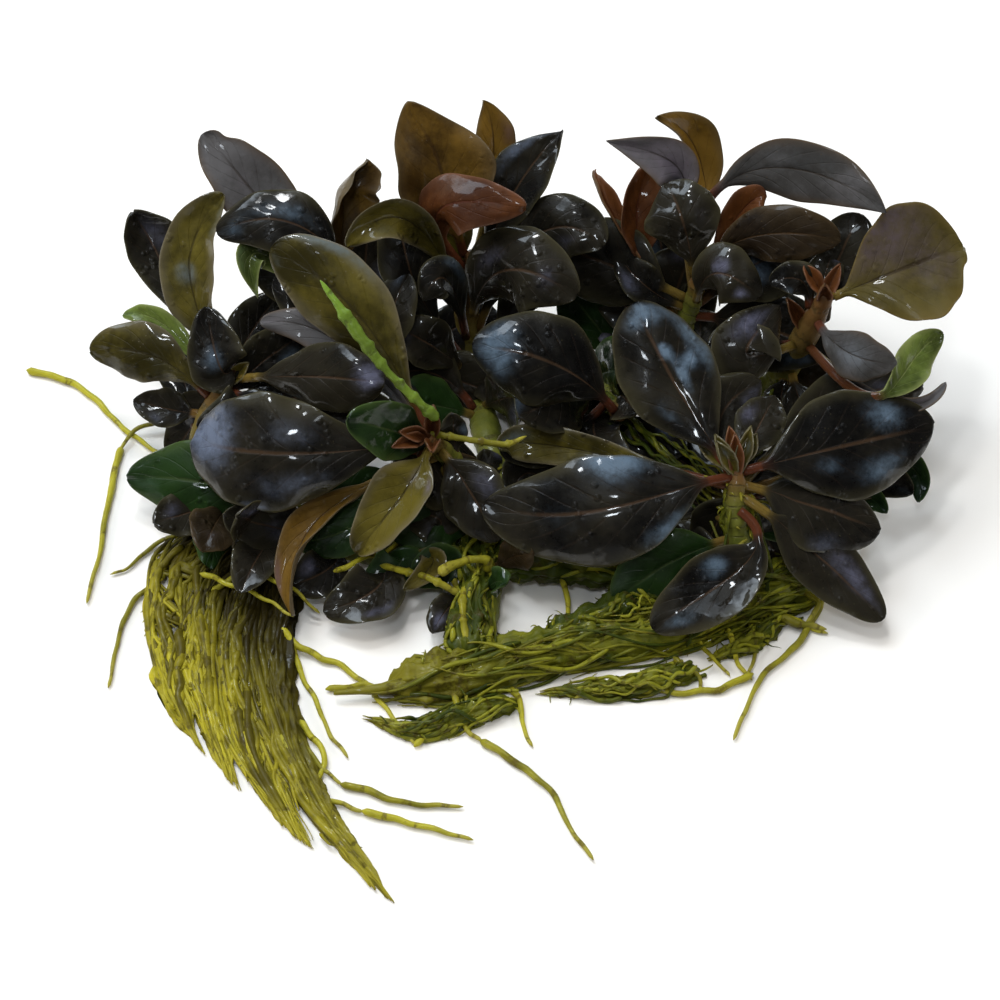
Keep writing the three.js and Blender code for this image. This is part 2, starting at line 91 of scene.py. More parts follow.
def smooth(values, low, high):
    """0 below low, 1 above high, and a soft rise between them."""
    share = np.clip((values - low) / (high - low), 0, 1)
    return share * share * (3 - 2 * share)


# %% [markdown]
# The solids' places are written as somebody in front of the clump sees them: so many
# millimetres to the right, so many up in the picture, and so high above the ground. The same
# three numbers are used here, with the same eye, so that each fine piece lies on its solid. The
# camera stands at that eye. A long lens from 40 cm away gives the slight perspective of a plant
# that is photographed on a table.

# %% The eye, and the camera in its place
EYE_DISTANCE = 400.0
EYE_TILT = math.radians(50)
PICTURE_WIDTH = 150.0
SENSOR_WIDTH = 36.0
TO_EYE = np.array([0.0, -math.cos(EYE_TILT), math.sin(EYE_TILT)])
EYE = EYE_DISTANCE * TO_EYE
PICTURE_UP = np.array([0.0, math.sin(EYE_TILT), math.cos(EYE_TILT)])


def place(right, up, height):
    """The point at this height on the line of sight through a point of the picture, in millimetres."""
    seen = np.array([right, 0.0, 0.0]) + up * PICTURE_UP
    share = (EYE[2] - height) / (EYE[2] - seen[2])
    return EYE + share * (seen - EYE)


camera = bpy.data.objects.new("camera", bpy.data.cameras.new("camera"))
bpy.context.collection.objects.link(camera)
camera.location = EYE * MM
camera.rotation_euler = Vector(-TO_EYE).to_track_quat("-Z", "Y").to_euler()
camera.data.sensor_width = SENSOR_WIDTH
camera.data.lens = SENSOR_WIDTH * EYE_DISTANCE / PICTURE_WIDTH
camera.data.clip_start = 0.01
bpy.context.scene.camera = camera
print("the camera has a lens of", camera.data.lens, "mm")

# %% [markdown]
# Wet dark leaves are mostly mirrors: what they show is the light, and where they show none they
# are black. A large, slightly blue soft box stands high behind the clump, where the tips and
# edges that bend up throw its light towards the eye, as a window would. Three small bright lamps
# above give the sharp glints. The others only light the colours, the floor and the shadows:
# glossy rays pass them by, because on wet leaves they would lie as milky squares. The room itself
# is nearly dark for the same reason. The floor is plain and pale. Its faint warm tint makes up
# for the blue of the light.


# %% Floor and light
def soft_box(name, location, size, brightness, colour, mirrored=True):
    """A square lamp that faces the clump. Brightness is what a mirror would show of it."""
    light = bpy.data.lights.new(name, "AREA")
    light.shape = "SQUARE"
    light.size = size
    light.energy = brightness * math.pi * size ** 2
    light.color = colour
    lamp = bpy.data.objects.new(name, light)
    lamp.location = location
    lamp.rotation_euler = (-Vector(location)).to_track_quat("-Z", "Y").to_euler()
    lamp.visible_glossy = mirrored
    bpy.context.collection.objects.link(lamp)
    return lamp


SKY_BLUE = (0.78, 0.89, 1.0)
WARM_WHITE = (1.0, 0.96, 0.90)
soft_box("window", (-0.34, 0.30, 0.66), 0.38, 7.0, SKY_BLUE)
soft_box("back_window", (0.22, 0.60, 0.34), 0.22, 6.0, SKY_BLUE)
soft_box("back_glint", (-0.10, 0.22, 0.80), 0.08, 50.0, (0.96, 0.98, 1.0))
soft_box("top_glint", (-0.14, -0.05, 0.85), 0.08, 50.0, (0.90, 0.95, 1.0))
soft_box("front_glint", (-0.05, -0.40, 0.72), 0.08, 45.0, (0.86, 0.93, 1.0))
soft_box("high_room", (-0.25, 0.05, 0.90), 0.50, 2.4, WARM_WHITE, mirrored=False)
soft_box("left_side", (-0.95, -0.10, 0.50), 0.50, 6.0, WARM_WHITE, mirrored=False)
soft_box("right_side", (0.95, 0.05, 0.45), 0.50, 5.0, WARM_WHITE, mirrored=False)
soft_box("front_fill", (0.30, -0.85, 0.55), 0.40, 1.0, WARM_WHITE, mirrored=False)

sky = bpy.data.worlds.new("soft_room")
sky.use_nodes = True
sky.node_tree.nodes["Background"].inputs["Color"].default_value = (1.0, 0.98, 0.95, 1.0)
sky.node_tree.nodes["Background"].inputs["Strength"].default_value = 0.07
bpy.context.scene.world = sky
bpy.context.scene.view_settings.view_transform = "Standard"

FLOOR_HALF = 3.0
FLOOR_BELOW = 0.00002
floor_mesh = bpy.data.meshes.new("floor")
floor_mesh.from_pydata(
    [(x * FLOOR_HALF, y * FLOOR_HALF, -FLOOR_BELOW) for x, y in ((-1, -1), (1, -1), (1, 1), (-1, 1))],
    [],
    [(0, 1, 2, 3)],
)
floor = bpy.data.objects.new("floor", floor_mesh)
bpy.context.collection.objects.link(floor)
floor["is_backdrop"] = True
paper = bpy.data.materials.new("pale_paper")
paper.use_nodes = True
paper.node_tree.nodes["Principled BSDF"].inputs["Base Color"].default_value = (0.93, 0.90, 0.86, 1.0)
paper.node_tree.nodes["Principled BSDF"].inputs["Roughness"].default_value = 0.9
floor_mesh.materials.append(paper)

# %% [markdown]
# Stems and roots are tubes along a smooth line through a few places. The line is the centripetal
# Catmull-Rom spline that the solids use, which never overshoots between uneven points. It is
# sampled once and then read by its share of the length.

# %% Smooth lines through places
PATH_SAMPLES = 240


class Path:
    """A smooth line through points. Shares run from 0 at its start to 1 at its end."""

    def __init__(self, points):
        self.given = np.array(points, float)
        self.line = np.array([self.spline(s) for s in np.linspace(0, 1, PATH_SAMPLES)])
        steps = np.linalg.norm(np.diff(self.line, axis=0), axis=1)
        self.travelled = np.concatenate([[0.0], np.cumsum(steps)])
        self.length = self.travelled[-1]

    def spline(self, share):
        given = self.given
        reach = (len(given) - 1) * share
        first = min(int(reach), len(given) - 2)
        weight = reach - first
        p1, p2 = given[first], given[first + 1]
        p0 = given[first - 1] if first > 0 else 2 * p1 - p2
        p3 = given[first + 2] if first + 2 < len(given) else 2 * p2 - p1
        d0, d1, d2 = (max(np.linalg.norm(b - a), 1e-6) ** 0.5 for a, b in ((p0, p1), (p1, p2), (p2, p3)))
        t1 = ((p1 - p0) / d0 - (p2 - p0) / (d0 + d1) + (p2 - p1) / d1) * d1
        t2 = ((p2 - p1) / d1 - (p3 - p1) / (d1 + d2) + (p3 - p2) / d2) * d1
        square = -3 * p1 + 3 * p2 - 2 * t1 - t2
        cube = 2 * p1 - 2 * p2 + t1 + t2
        return p1 + t1 * weight + square * weight ** 2 + cube * weight ** 3

    def at(self, shares):
        """The points at these shares of the length."""
        far = np.clip(shares, 0, 1) * self.length
        return np.stack([np.interp(far, self.travelled, self.line[:, k]) for k in range(3)], axis=-1)

    def along(self, shares):
        """The directions at these shares."""
        step = 0.004
        return unit(self.at(np.asarray(shares) + step) - self.at(np.asarray(shares) - step))


quarter_turn = Path([(10, 0, 0), (7.07, 7.07, 0), (0, 10, 0)])
print("a path through three points of a quarter circle is", round(quarter_turn.length, 1), "mm long")


# %% [markdown]
# Every piece is made of closed skins: rings of points, one after the other, joined by four-sided
# faces and closed at both ends. A leaf is such a skin with very flat rings, and a root is one
# with round rings. Three marks go with each point, so that a finish can find its way on the
# piece: blade holds the share along, the place across and the side, the sheen mark is where a
# blue reflection of the light is painted on a leaf (or, below 0, where it has a dark spot), and
# mood is one number per leaf or root that shifts its colour a little.


# %% Skins, and the pieces made of them
class Skin:
    """Closed skins that become one mesh."""

    def __init__(self):
        self.points, self.marks, self.mood = [], [], []
        self.quads, self.ends = [], []
        self.count = 0

    def add(self, rings, marks, mood):
        """Adds rings of points, counterclockwise as seen from the far end, as one closed skin."""
        rows, sides, _ = rings.shape
        index = self.count + np.arange(rows * sides).reshape(rows, sides)
        near, far = index[:-1], index[1:]
        quads = np.stack([near, np.roll(near, -1, 1), np.roll(far, -1, 1), far], axis=-1)
        self.quads.append(quads.reshape(-1, 4))
        self.ends += [index[0][::-1], index[-1]]
        self.points.append(rings.reshape(-1, 3))
        self.marks.append(marks.reshape(-1, 4))
        self.mood.append(np.full(rows * sides, mood))
        self.count += rows * sides

    def piece(self, name, finish, slot, replaced=()):
        """Makes the mesh, in metres and held in the box of the solids, and lets it ride on the one body."""
        points = np.concatenate(self.points) * MM
        points[:, 2] = np.maximum(points[:, 2], 0)
        low, high = np.array(cad_low), np.array(cad_high)
        points = np.clip(points, low, high)
        quads = np.concatenate(self.quads)
        corners = np.concatenate([quads.ravel(), *self.ends]).astype(np.int32)
        sizes = np.array([4] * len(quads) + [len(end) for end in self.ends])
        starts = np.concatenate([[0], np.cumsum(sizes)[:-1]]).astype(np.int32)
        mesh = bpy.data.meshes.new(name)
        mesh.vertices.add(len(points))
        mesh.vertices.foreach_set("co", points.astype(np.float32).ravel())
        mesh.loops.add(len(corners))
        mesh.loops.foreach_set("vertex_index", corners)
        mesh.polygons.add(len(starts))
        mesh.polygons.foreach_set("loop_start", starts)
        mesh.update(calc_edges=True)
        mesh.shade_smooth()
        marks = np.concatenate(self.marks).astype(np.float32)
        mesh.attributes.new("blade", "FLOAT_VECTOR", "POINT").data.foreach_set("vector", marks[:, :3].ravel())
        # The sheen mark: where a reflection of the light is painted into a leaf's colour; below 0, a dark spot
        mesh.attributes.new("sheen", "FLOAT", "POINT").data.foreach_set("value", marks[:, 3])
        moods = np.concatenate(self.mood).astype(np.float32)
        mesh.attributes.new("mood", "FLOAT", "POINT").data.foreach_set("value", moods)
        mesh.materials.append(finish)
        made = bpy.data.objects.new(name, mesh)
        bpy.context.collection.objects.link(made)
        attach(made, "root")
        if replaced:
            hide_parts(*replaced)
        return made


def tube_rings(line, radii, sides):
    """Round rings about a line. Radii are one for each row, or one for each row and side."""
    along = unit(np.gradient(line, axis=0))
    helper = np.eye(3)[np.argmin(np.abs(along[0]))]
    outward = []
    for direction in along:
        helper = unit(helper - helper.dot(direction) * direction)
        outward.append(helper)
    outward = np.array(outward)
    upward = np.cross(along, outward)
    angles = np.linspace(0, 2 * math.pi, sides, endpoint=False)
    radii = np.broadcast_to(np.asarray(radii).reshape(len(line), -1), (len(line), sides))
    spokes = (
        np.cos(angles)[None, :, None] * outward[:, None] + np.sin(angles)[None, :, None] * upward[:, None]
    )
    return line[:, None] + radii[..., None] * spokes


def tube_marks(rows, sides):
    """The marks of a tube: share along, and the angle as -1 to 1."""
    marks = np.zeros((rows, sides, 4))
    marks[..., 0] = np.linspace(0, 1, rows)[:, None]
    marks[..., 1] = np.linspace(-1, 1, sides, endpoint=False)[None]
    return marks


print("each point of a skin has", tube_marks(2, 3).shape[-1], "marks and a mood")


# %% [markdown]
# Finishes are node materials. Shader arithmetic is easiest to read as ordinary expressions, so a
# Wire wraps one output of a node and turns + - * / into Math nodes. Colours go through Mix
# nodes, because a Math node would make them grey. Every other node is made by one method that
# takes its type, its settings and what its sockets get.


# %% Arithmetic on shader nodes
class Wire:
    """One output of a node, which can stand in an expression."""

    def __init__(self, finish, socket):
        self.finish = finish
        self.socket = socket

    def math(self, operation, first, second):
        return self.finish.node("ShaderNodeMath", {"operation": operation}, {0: first, 1: second})

    def __add__(self, other):
        return self.math("ADD", self, other)

    def __radd__(self, other):
        return self.math("ADD", other, self)

    def __sub__(self, other):
        return self.math("SUBTRACT", self, other)

    def __rsub__(self, other):
        return self.math("SUBTRACT", other, self)

    def __mul__(self, other):
        return self.math("MULTIPLY", self, other)

    def __rmul__(self, other):
        return self.math("MULTIPLY", other, self)

    def __truediv__(self, other):
        return self.math("DIVIDE", self, other)

    def __rtruediv__(self, other):
        return self.math("DIVIDE", other, self)

    def __pow__(self, other):
        return self.math("POWER", self, other)

    def __abs__(self):
        return self.math("ABSOLUTE", self, 0.0)

    def part(self, name):
        """Another output of the same node."""
        return Wire(self.finish, self.socket.node.outputs[name])


class Finish:
    """A material with one Principled shader, and the nodes that feed it."""

    def __init__(self, name):
        self.material = bpy.data.materials.new(name)
        self.material.use_nodes = True
        self.tree = self.material.node_tree
        self.shader = self.tree.nodes["Principled BSDF"]
        marks = self.node("ShaderNodeAttribute", {"attribute_name": "blade"}, {}, "Vector")
        split = self.node("ShaderNodeSeparateXYZ", {}, {0: marks}, "X")
        self.along, self.across, self.side = split, split.part("Y"), split.part("Z")
        self.sheen = self.node("ShaderNodeAttribute", {"attribute_name": "sheen"}, {}, "Fac")
        self.mood = self.node("ShaderNodeAttribute", {"attribute_name": "mood"}, {}, "Fac")
        self.place = self.node("ShaderNodeTexCoord", {}, {}, "Object")

    def node(self, kind, settings, sockets, output=0):
        """A node of this kind. Settings come first, then what each socket gets: a value or a Wire."""
        made = self.tree.nodes.new(kind)
        for key, value in settings.items():
            setattr(made, key, value)
        for key, value in sockets.items():
            if isinstance(value, Wire):
                self.tree.links.new(value.socket, made.inputs[key])
            else:
                made.inputs[key].default_value = value
        return Wire(self, made.outputs[output])

    def noise(self, size, detail=3.0, roughness=0.55):
        """Soft noise from 0 to 1, with lumps of this size in metres."""
        return self.node(
            "ShaderNodeTexNoise", {},
            {"Vector": self.place, "Scale": 1 / size, "Detail": detail, "Roughness": roughness},
        )

    def ramp(self, value, low, high, bottom=0.0, top=1.0):
        """Bottom where the value is under low, top where it is over high, soft between."""
        return self.node(
            "ShaderNodeMapRange", {"interpolation_type": "SMOOTHSTEP"},
            {"Value": value, "From Min": low, "From Max": high, "To Min": bottom, "To Max": top},
        )

    def blend(self, share, first, second):
        """From the first colour to the second."""
        colours = {
            key: colour if isinstance(colour, Wire) else (*colour, 1.0)
            for key, colour in ((6, first), (7, second))
        }
        return self.node("ShaderNodeMix", {"data_type": "RGBA"}, {0: share, **colours}, 2)

    def bump(self, height, distance, strength, under=None):
        """Relief of this height, in metres, over another relief if one is given."""
        sockets = {"Height": height, "Distance": distance, "Strength": strength}
        if under:
            sockets["Normal"] = under
        return self.node("ShaderNodeBump", {}, sockets)

    def set(self, **values):
        """Sets the shader's sockets, by their names with _ for a space."""
        for key, value in values.items():
            socket = self.shader.inputs[key.replace("_", " ")]
            if isinstance(value, Wire):
                self.tree.links.new(value.socket, socket)
            elif isinstance(value, tuple):
                socket.default_value = (*value, 1.0)
            else:
                socket.default_value = value
        return self.material


print("wires can be added, subtracted, multiplied, divided and raised to a power")


# %% [markdown]
# A leaf of this plant is leathery and wet. Its face is almost black, with an olive or brown
# ground that grows paler towards the rim, a thin brown midrib, faint side veins and pin-sized pale
# dots. Patches of blue reflection are painted into the colour, mostly where the leaf bends up
# towards the light. Its back is lighter and greyer. The petiole is reddish or yellowish. One
# function makes them all from a few colours. The wet film is the shader's coat, thick in some
# places and thin in others, with small beads in its bump that catch the light. Under the film the
# leaf itself reflects little, which keeps it dark.

# %% Leaf finishes
VEINS = 7.0
VEIN_SLANT = 0.36
RED_PETIOLE = (0.085, 0.024, 0.010)
YELLOW_PETIOLE = (0.150, 0.100, 0.020)


def leaf_finish(name, deep, light, back, rib, rim, sheen, gloss=0.30, veins=0.10, beaded=1.0, film=1.0):
    """A wet leaf. Deep and light are the two ends of its face colour, and back is its underside."""
    f = Finish(name)
    broad = f.noise(0.009, 3.0)
    fine = f.noise(0.0011, 4.0, 0.65)
    shade = f.ramp(broad * 0.75 + fine * 0.25 + f.mood * 0.22, 0.40, 0.76)
    face = f.blend(shade, deep, light)
    out = abs(f.across)
    face = f.blend(f.ramp(out + broad * 0.5, 0.85, 1.35) * 0.55, face, rim)
    # Painted reflection: patches of the light's blue reflection, lilac on some leaves, are painted into the face
    # colour
    lilac = (sheen[0] * 1.25, sheen[1] * 0.9, sheen[2] * 0.98)
    turned = f.blend(f.ramp(f.mood, 0.35, 0.65), sheen, lilac)
    cloud = f.noise(0.0020, 4.0, 0.68)
    painted_sheen_patches = f.ramp(f.sheen * (cloud * 1.7 + 0.08) + fine * 0.22, 0.22, 1.42)
    face = f.blend(painted_sheen_patches, face, turned)
    slant = f.along * VEINS - (out ** 0.8) * (VEINS * VEIN_SLANT)
    vein = f.node("ShaderNodeMath", {"operation": "PINGPONG"}, {0: slant + 20.0, 1: 0.5})
    wobble = f.noise(0.0016, 2.0) * 0.16
    vein_line = f.ramp(vein + wobble, 0.17, 0.06) * f.ramp(out, 0.95, 0.5)
    face = f.blend(vein_line * veins, face, rib)
    midrib = f.ramp(out * (1.6 - f.along) + fine * 0.02, 0.065, 0.02) * f.ramp(f.along, 0.98, 0.6)
    face = f.blend(midrib * 0.7, face, rib)
    margin = f.ramp(out + fine * 0.05, 0.94, 1.02)
    face = f.blend(margin * 0.8, face, rim)
    under = f.blend(f.ramp(broad + fine * 0.2, 0.35, 0.8), back, tuple(0.55 * c for c in back))
    under = f.blend(vein_line * 0.25, under, rib)
    colour = f.blend(f.ramp(f.side, 0.1, -0.1), face, under)
    stalk = f.blend(f.ramp(f.mood + broad * 0.4, 0.55, 0.85), RED_PETIOLE, YELLOW_PETIOLE)
    colour = f.blend(f.ramp(f.along, 0.10, -0.15) * 0.9, colour, stalk)
    dots = f.node("ShaderNodeTexVoronoi", {}, {"Vector": f.place, "Scale": 1150.0, "Randomness": 1.0})
    dot = f.ramp(dots, 0.15, 0.08) * f.ramp(f.noise(0.005, 1.0), 0.45, 0.62)
    colour = f.blend(dot * 0.5, colour, rim)
    dust = f.ramp(f.noise(0.00035, 2.0, 0.7), 0.66, 0.76) * f.ramp(f.noise(0.007, 2.0), 0.5, 0.7)
    colour = f.blend(dust * 0.35, colour, (0.14, 0.12, 0.08))
    colour = f.blend(f.ramp(f.sheen + fine * 0.2, -0.25, -0.55), colour, (0.002, 0.0015, 0.001))
    beads = f.node("ShaderNodeTexVoronoi", {}, {"Vector": f.place, "Scale": 620.0})
    bead = f.ramp(beads, 0.40, 0.05) * f.ramp(f.noise(0.006, 2.0), 0.50, 0.60)
    grain = f.bump(fine * 0.6 + f.noise(0.0003, 2.0) * 0.25, 0.00011, 0.7)
    relief = f.bump(bead * beaded - vein_line * 0.15 - midrib * 0.3, 0.00034, 0.9, grain)
    wet = f.ramp(f.noise(0.0035, 3.0) + bead * 0.4, 0.43, 0.60, 0.12 * film, film)
    return f.set(
        Base_Color=colour,
        Roughness=f.ramp(fine * 0.6 + broad * 0.4, 0.3, 0.7, gloss, gloss + 0.22),
        Specular_IOR_Level=0.13,
        Coat_Weight=wet,
        Coat_Roughness=0.06,
        Coat_IOR=1.38,
        IOR=1.42,
        Normal=relief,
    )


print("a leaf finish draws", VEINS, "side veins on each half of a blade")

# %% [markdown]
# The clump has leaves of nine kinds, from near-black to pale green, brown, red and the grey-violet
# of turned leaves. Each is one call with its own colours. Dry old leaves get less film and
# fewer beads. The alternative, one finish with a colour for each leaf, would hide these kinds.

# %% The nine kinds of leaf
# The sheen of each kind is the colour of its painted reflection
LEAF_FINISHES = {
    "dark": leaf_finish(
        "dark_leaf", deep=(0.0040, 0.0038, 0.0036), light=(0.0155, 0.0132, 0.0085), back=(0.060, 0.052, 0.036),
        rib=(0.055, 0.032, 0.018), rim=(0.050, 0.044, 0.022), sheen=(0.098, 0.140, 0.190), gloss=0.24,
    ),
    "green": leaf_finish(
        "green_leaf", deep=(0.003, 0.008, 0.0025), light=(0.012, 0.030, 0.006), back=(0.04, 0.06, 0.02),
        rib=(0.04, 0.06, 0.02), rim=(0.05, 0.08, 0.02), sheen=(0.040, 0.080, 0.050), gloss=0.26,
    ),
    "pale": leaf_finish(
        "pale_green_leaf", deep=(0.032, 0.044, 0.010), light=(0.140, 0.190, 0.035), back=(0.13, 0.16, 0.06),
        rib=(0.18, 0.21, 0.07), rim=(0.24, 0.27, 0.10), sheen=(0.12, 0.18, 0.08), gloss=0.34, veins=0.25,
    ),
    "olive": leaf_finish(
        "olive_leaf", deep=(0.022, 0.018, 0.004), light=(0.100, 0.080, 0.012), back=(0.12, 0.11, 0.05),
        rib=(0.026, 0.020, 0.007), rim=(0.13, 0.11, 0.07), sheen=(0.105, 0.125, 0.125), gloss=0.28,
    ),
    "brown": leaf_finish(
        "brown_leaf", deep=(0.034, 0.018, 0.004), light=(0.150, 0.082, 0.012), back=(0.12, 0.09, 0.05),
        rib=(0.032, 0.016, 0.006), rim=(0.10, 0.07, 0.035), sheen=(0.105, 0.085, 0.060),
        gloss=0.36, beaded=0.35, film=0.6,
    ),
    "umber": leaf_finish(
        "dark_brown_leaf", deep=(0.008, 0.005, 0.003), light=(0.026, 0.017, 0.008), back=(0.06, 0.04, 0.02),
        rib=(0.050, 0.028, 0.012), rim=(0.070, 0.045, 0.020), sheen=(0.060, 0.062, 0.066), gloss=0.34, film=0.5,
    ),
    "red": leaf_finish(
        "red_leaf", deep=(0.038, 0.012, 0.004), light=(0.112, 0.038, 0.010), back=(0.13, 0.07, 0.03),
        rib=(0.060, 0.016, 0.008), rim=(0.15, 0.07, 0.04), sheen=(0.105, 0.058, 0.034),
        gloss=0.40, beaded=0.35, film=0.5,
    ),
    "violet": leaf_finish(
        "violet_leaf_back", deep=(0.040, 0.038, 0.036), light=(0.098, 0.094, 0.096),
        back=(0.02, 0.02, 0.012), rib=(0.036, 0.028, 0.022), rim=(0.080, 0.050, 0.024),
        sheen=(0.115, 0.128, 0.145), gloss=0.42, veins=0.22, beaded=0.15, film=0.4,
    ),
    "turned": leaf_finish(
        "half_turned_leaf", deep=(0.018, 0.014, 0.005), light=(0.080, 0.062, 0.014), back=(0.07, 0.06, 0.04),
        rib=(0.030, 0.020, 0.012), rim=(0.120, 0.085, 0.025), sheen=(0.072, 0.076, 0.080),
        gloss=0.36, beaded=0.35, film=0.6,
    ),
}
LEAF_SLOTS = {
    "dark": "leaf_dark", "green": "leaf_green", "pale": "leaf_green", "olive": "leaf_olive",
    "brown": "leaf_brown", "umber": "leaf_brown", "red": "leaf_red", "violet": "leaf_violet", "turned": "leaf_violet",
}
print("leaf finishes:", ", ".join(LEAF_FINISHES))

# %% [markdown]
# Rhizomes are fleshy, olive-green and flattened where they creep. Old leaves leave rings and
# scars on them, and they redden towards the crowns. Roots are yellow-green, smooth and wet. On the
# brush, the shade of the leaves above is painted in as darker brown towards the clump. The flower
# stalk is the brightest green on the plant. These finishes share one function too, with the ring
# pattern as a wave along the piece.


# %% Stem and root finishes
def stem_finish(name, low, high, scar, tip, rings, gloss, grain_size, painted_shade=None):
    """A fleshy stem or root: two ground colours, darker scars, and another colour towards its end."""
    f = Finish(name)
    broad = f.noise(0.004, 3.0)
    fine = f.noise(grain_size, 4.0, 0.65)
    ground = f.blend(f.ramp(broad * 0.7 + f.mood * 0.5 + fine * 0.2, 0.45, 0.95), low, high)
    ring = f.node("ShaderNodeMath", {"operation": "PINGPONG"}, {0: f.along * rings + broad * 0.8, 1: 0.5})
    scars = f.ramp(ring, 0.10, 0.03) * f.ramp(fine, 0.35, 0.6)
    ground = f.blend(f.ramp(f.along, 0.62, 1.0), ground, tip)
    ground = f.blend(scars * 0.7, ground, scar)
    spots = f.ramp(f.noise(0.0009, 3.0, 0.7), 0.62, 0.72)
    ground = f.blend(spots * 0.45, ground, scar)
    if painted_shade:
        # Painted shade: darker and browner at the back and on the side of the rhizomes, where the leaves above shade
        # the roots
        where = f.node("ShaderNodeSeparateXYZ", {}, {0: f.place}, "X")
        toward_shade = where.part("Y") + where * 1.6 + broad * 0.014 + f.mood * 0.018
        ground = f.blend(f.ramp(toward_shade, -0.085, -0.062), ground, painted_shade)
    relief = f.bump(fine * 0.7 - scars * 0.6 + broad * 0.3, 0.00025, 0.8)
    return f.set(
        Base_Color=ground,
        Roughness=f.ramp(fine, 0.3, 0.7, gloss, gloss + 0.25),
        Specular_IOR_Level=0.18,
        Coat_Weight=f.ramp(fine + broad * 0.5, 0.75, 0.95, 0.0, 0.9),
        Coat_Roughness=0.10,
        Coat_IOR=1.38,
        Normal=relief,
    )


FRESH_GREEN = (0.16, 0.27, 0.030)
STEM_FINISHES = {
    "rhizome": stem_finish(
        "rhizome_skin", low=(0.060, 0.072, 0.010), high=(0.150, 0.150, 0.022), scar=(0.040, 0.030, 0.010),
        tip=(0.115, 0.055, 0.018), rings=11.0, gloss=0.38, grain_size=0.0009,
    ),
    "stalk": stem_finish(
        "flower_stalk_skin", low=(0.055, 0.088, 0.010), high=(0.14, 0.21, 0.024), scar=(0.05, 0.06, 0.012),
        tip=FRESH_GREEN, rings=5.0, gloss=0.30, grain_size=0.0011,
    ),
    "root": stem_finish(
        "root_skin", low=(0.150, 0.135, 0.010), high=(0.420, 0.380, 0.026), scar=(0.085, 0.058, 0.010),
        tip=(0.34, 0.30, 0.04), rings=3.0, gloss=0.30, grain_size=0.0007,
    ),
    # The brush gets painted shade, darker brown towards the clump where the leaves above shade it
    "brush": stem_finish(
        "brush_root_skin", low=(0.072, 0.058, 0.004), high=(0.430, 0.370, 0.020), scar=(0.050, 0.036, 0.006),
        tip=(0.34, 0.29, 0.02), rings=2.0, gloss=0.36, grain_size=0.0012, painted_shade=(0.020, 0.015, 0.002),
    ),
    "mat": stem_finish(
        "mat_root_skin", low=(0.030, 0.042, 0.003), high=(0.230, 0.225, 0.014), scar=(0.045, 0.030, 0.005),
        tip=(0.17, 0.15, 0.012), rings=3.0, gloss=0.38, grain_size=0.0009,
    ),
}
print("stem finishes:", ", ".join(STEM_FINISHES))

# %% [markdown]
# The rhizomes creep on the ground and turn up at their ends into shoots. Each is a tube with 24
# sides along the line of its solid. Raised collars stand where old leaves fell off, close
# together and never quite regular, and gentle lumps run between them.

# %% Rhizomes and shoots
RHIZOME_RADIUS = 2.4
SHOOT_RADIUS = 1.7
ON_GROUND = 1.8
SCAR_RINGS = 6
SCAR_RISE = 0.07
CROWN_TAPER = 0.25
END_SHARE = 0.1
END_WIDTH = 0.6
STEM_PLACES = {
    "front_rhizome": [
        (49, -10, ON_GROUND), (36, -16, ON_GROUND), (22, -21, ON_GROUND), (9, -23, ON_GROUND),
        (-4, -26, ON_GROUND), (-15, -28, ON_GROUND), (-25, -29, ON_GROUND),
    ],
    "cross_rhizome": [
        (-3.5, -22.5, ON_GROUND), (-1.5, -11, ON_GROUND), (0, 1, ON_GROUND), (-2, 10, ON_GROUND),
        (-4, 19, ON_GROUND), (-5, 27, 9), (-4.5, 33, 17), (-4, 37, 22),
    ],
    "left_rhizome": [
        (-5, -9, ON_GROUND), (-15, -8, ON_GROUND), (-27, -6, ON_GROUND), (-37, -3, ON_GROUND),
        (-43, 2, 3), (-45, 8, 7.5), (-42, 15, 12.5), (-39, 20, 15),
    ],
    "back_rhizome": [
        (1, 15.5, ON_GROUND), (12, 18, ON_GROUND), (24, 19, ON_GROUND), (34, 17.5, ON_GROUND),
        (40, 17, 3), (43, 20, 10), (46, 25, 19), (49, 31, 27),
    ],
    "back_left_shoot": [(-8, 17.5, 2), (-15, 19, 4), (-21, 24, 11), (-25, 30, 19)],
    "front_left_shoot": [(-2.5, 1.5, 5), (-6, 5, 10), (-11, 9.5, 18)],
    "middle_shoot": [(15, 17.5, 5.5), (17, 15, 9.5), (18, 12.5, 13.5)],
    "back_right_shoot": [(26, 22, 6.2), (27, 25, 11), (29, 30, 18), (30, 34, 23)],
    "right_shoot": [(36, -12, 6.2), (35.7, -7, 10), (35.3, -1, 15), (35.5, 4.5, 19)],
}
STEM_PATHS = {name: Path([place(*p) for p in places]) for name, places in STEM_PLACES.items()}
STEM_SIDES = 24
STEM_ROW = 0.45
COLLAR_PITCH = (1.5, 3.4)
COLLAR_WIDTH = 0.28


def stem_radius(name, shares):
    """The radius of the stem's solid at these shares of its length."""
    radius = RHIZOME_RADIUS if "rhizome" in name else SHOOT_RADIUS
    rings = 1 + SCAR_RISE * np.sin(2 * math.pi * SCAR_RINGS * shares)
    return radius * rings * (1 - CROWN_TAPER * shares ** 2)


def rounded_ends(shares):
    to_end = np.clip(np.minimum(shares, 1 - shares) / END_SHARE, 0, 1)
    return END_WIDTH + (1 - END_WIDTH) * np.sqrt(to_end)


def lumps(draws, shares, sides, pitch):
    """Gentle swellings all over a tube, between about -1 and 1."""
    angles = np.linspace(0, 2 * math.pi, sides, endpoint=False)
    total = np.zeros((len(shares), sides))
    for order in (1, 2, 3, 4):
        waves = 2 * math.pi * pitch * order * draws.uniform(0.8, 1.2) * shares
        turns = draws.integers(-2, 3) * angles
        total += np.sin(waves[:, None] + turns[None] + draws.uniform(0, TURN)) / order
    return total / 2


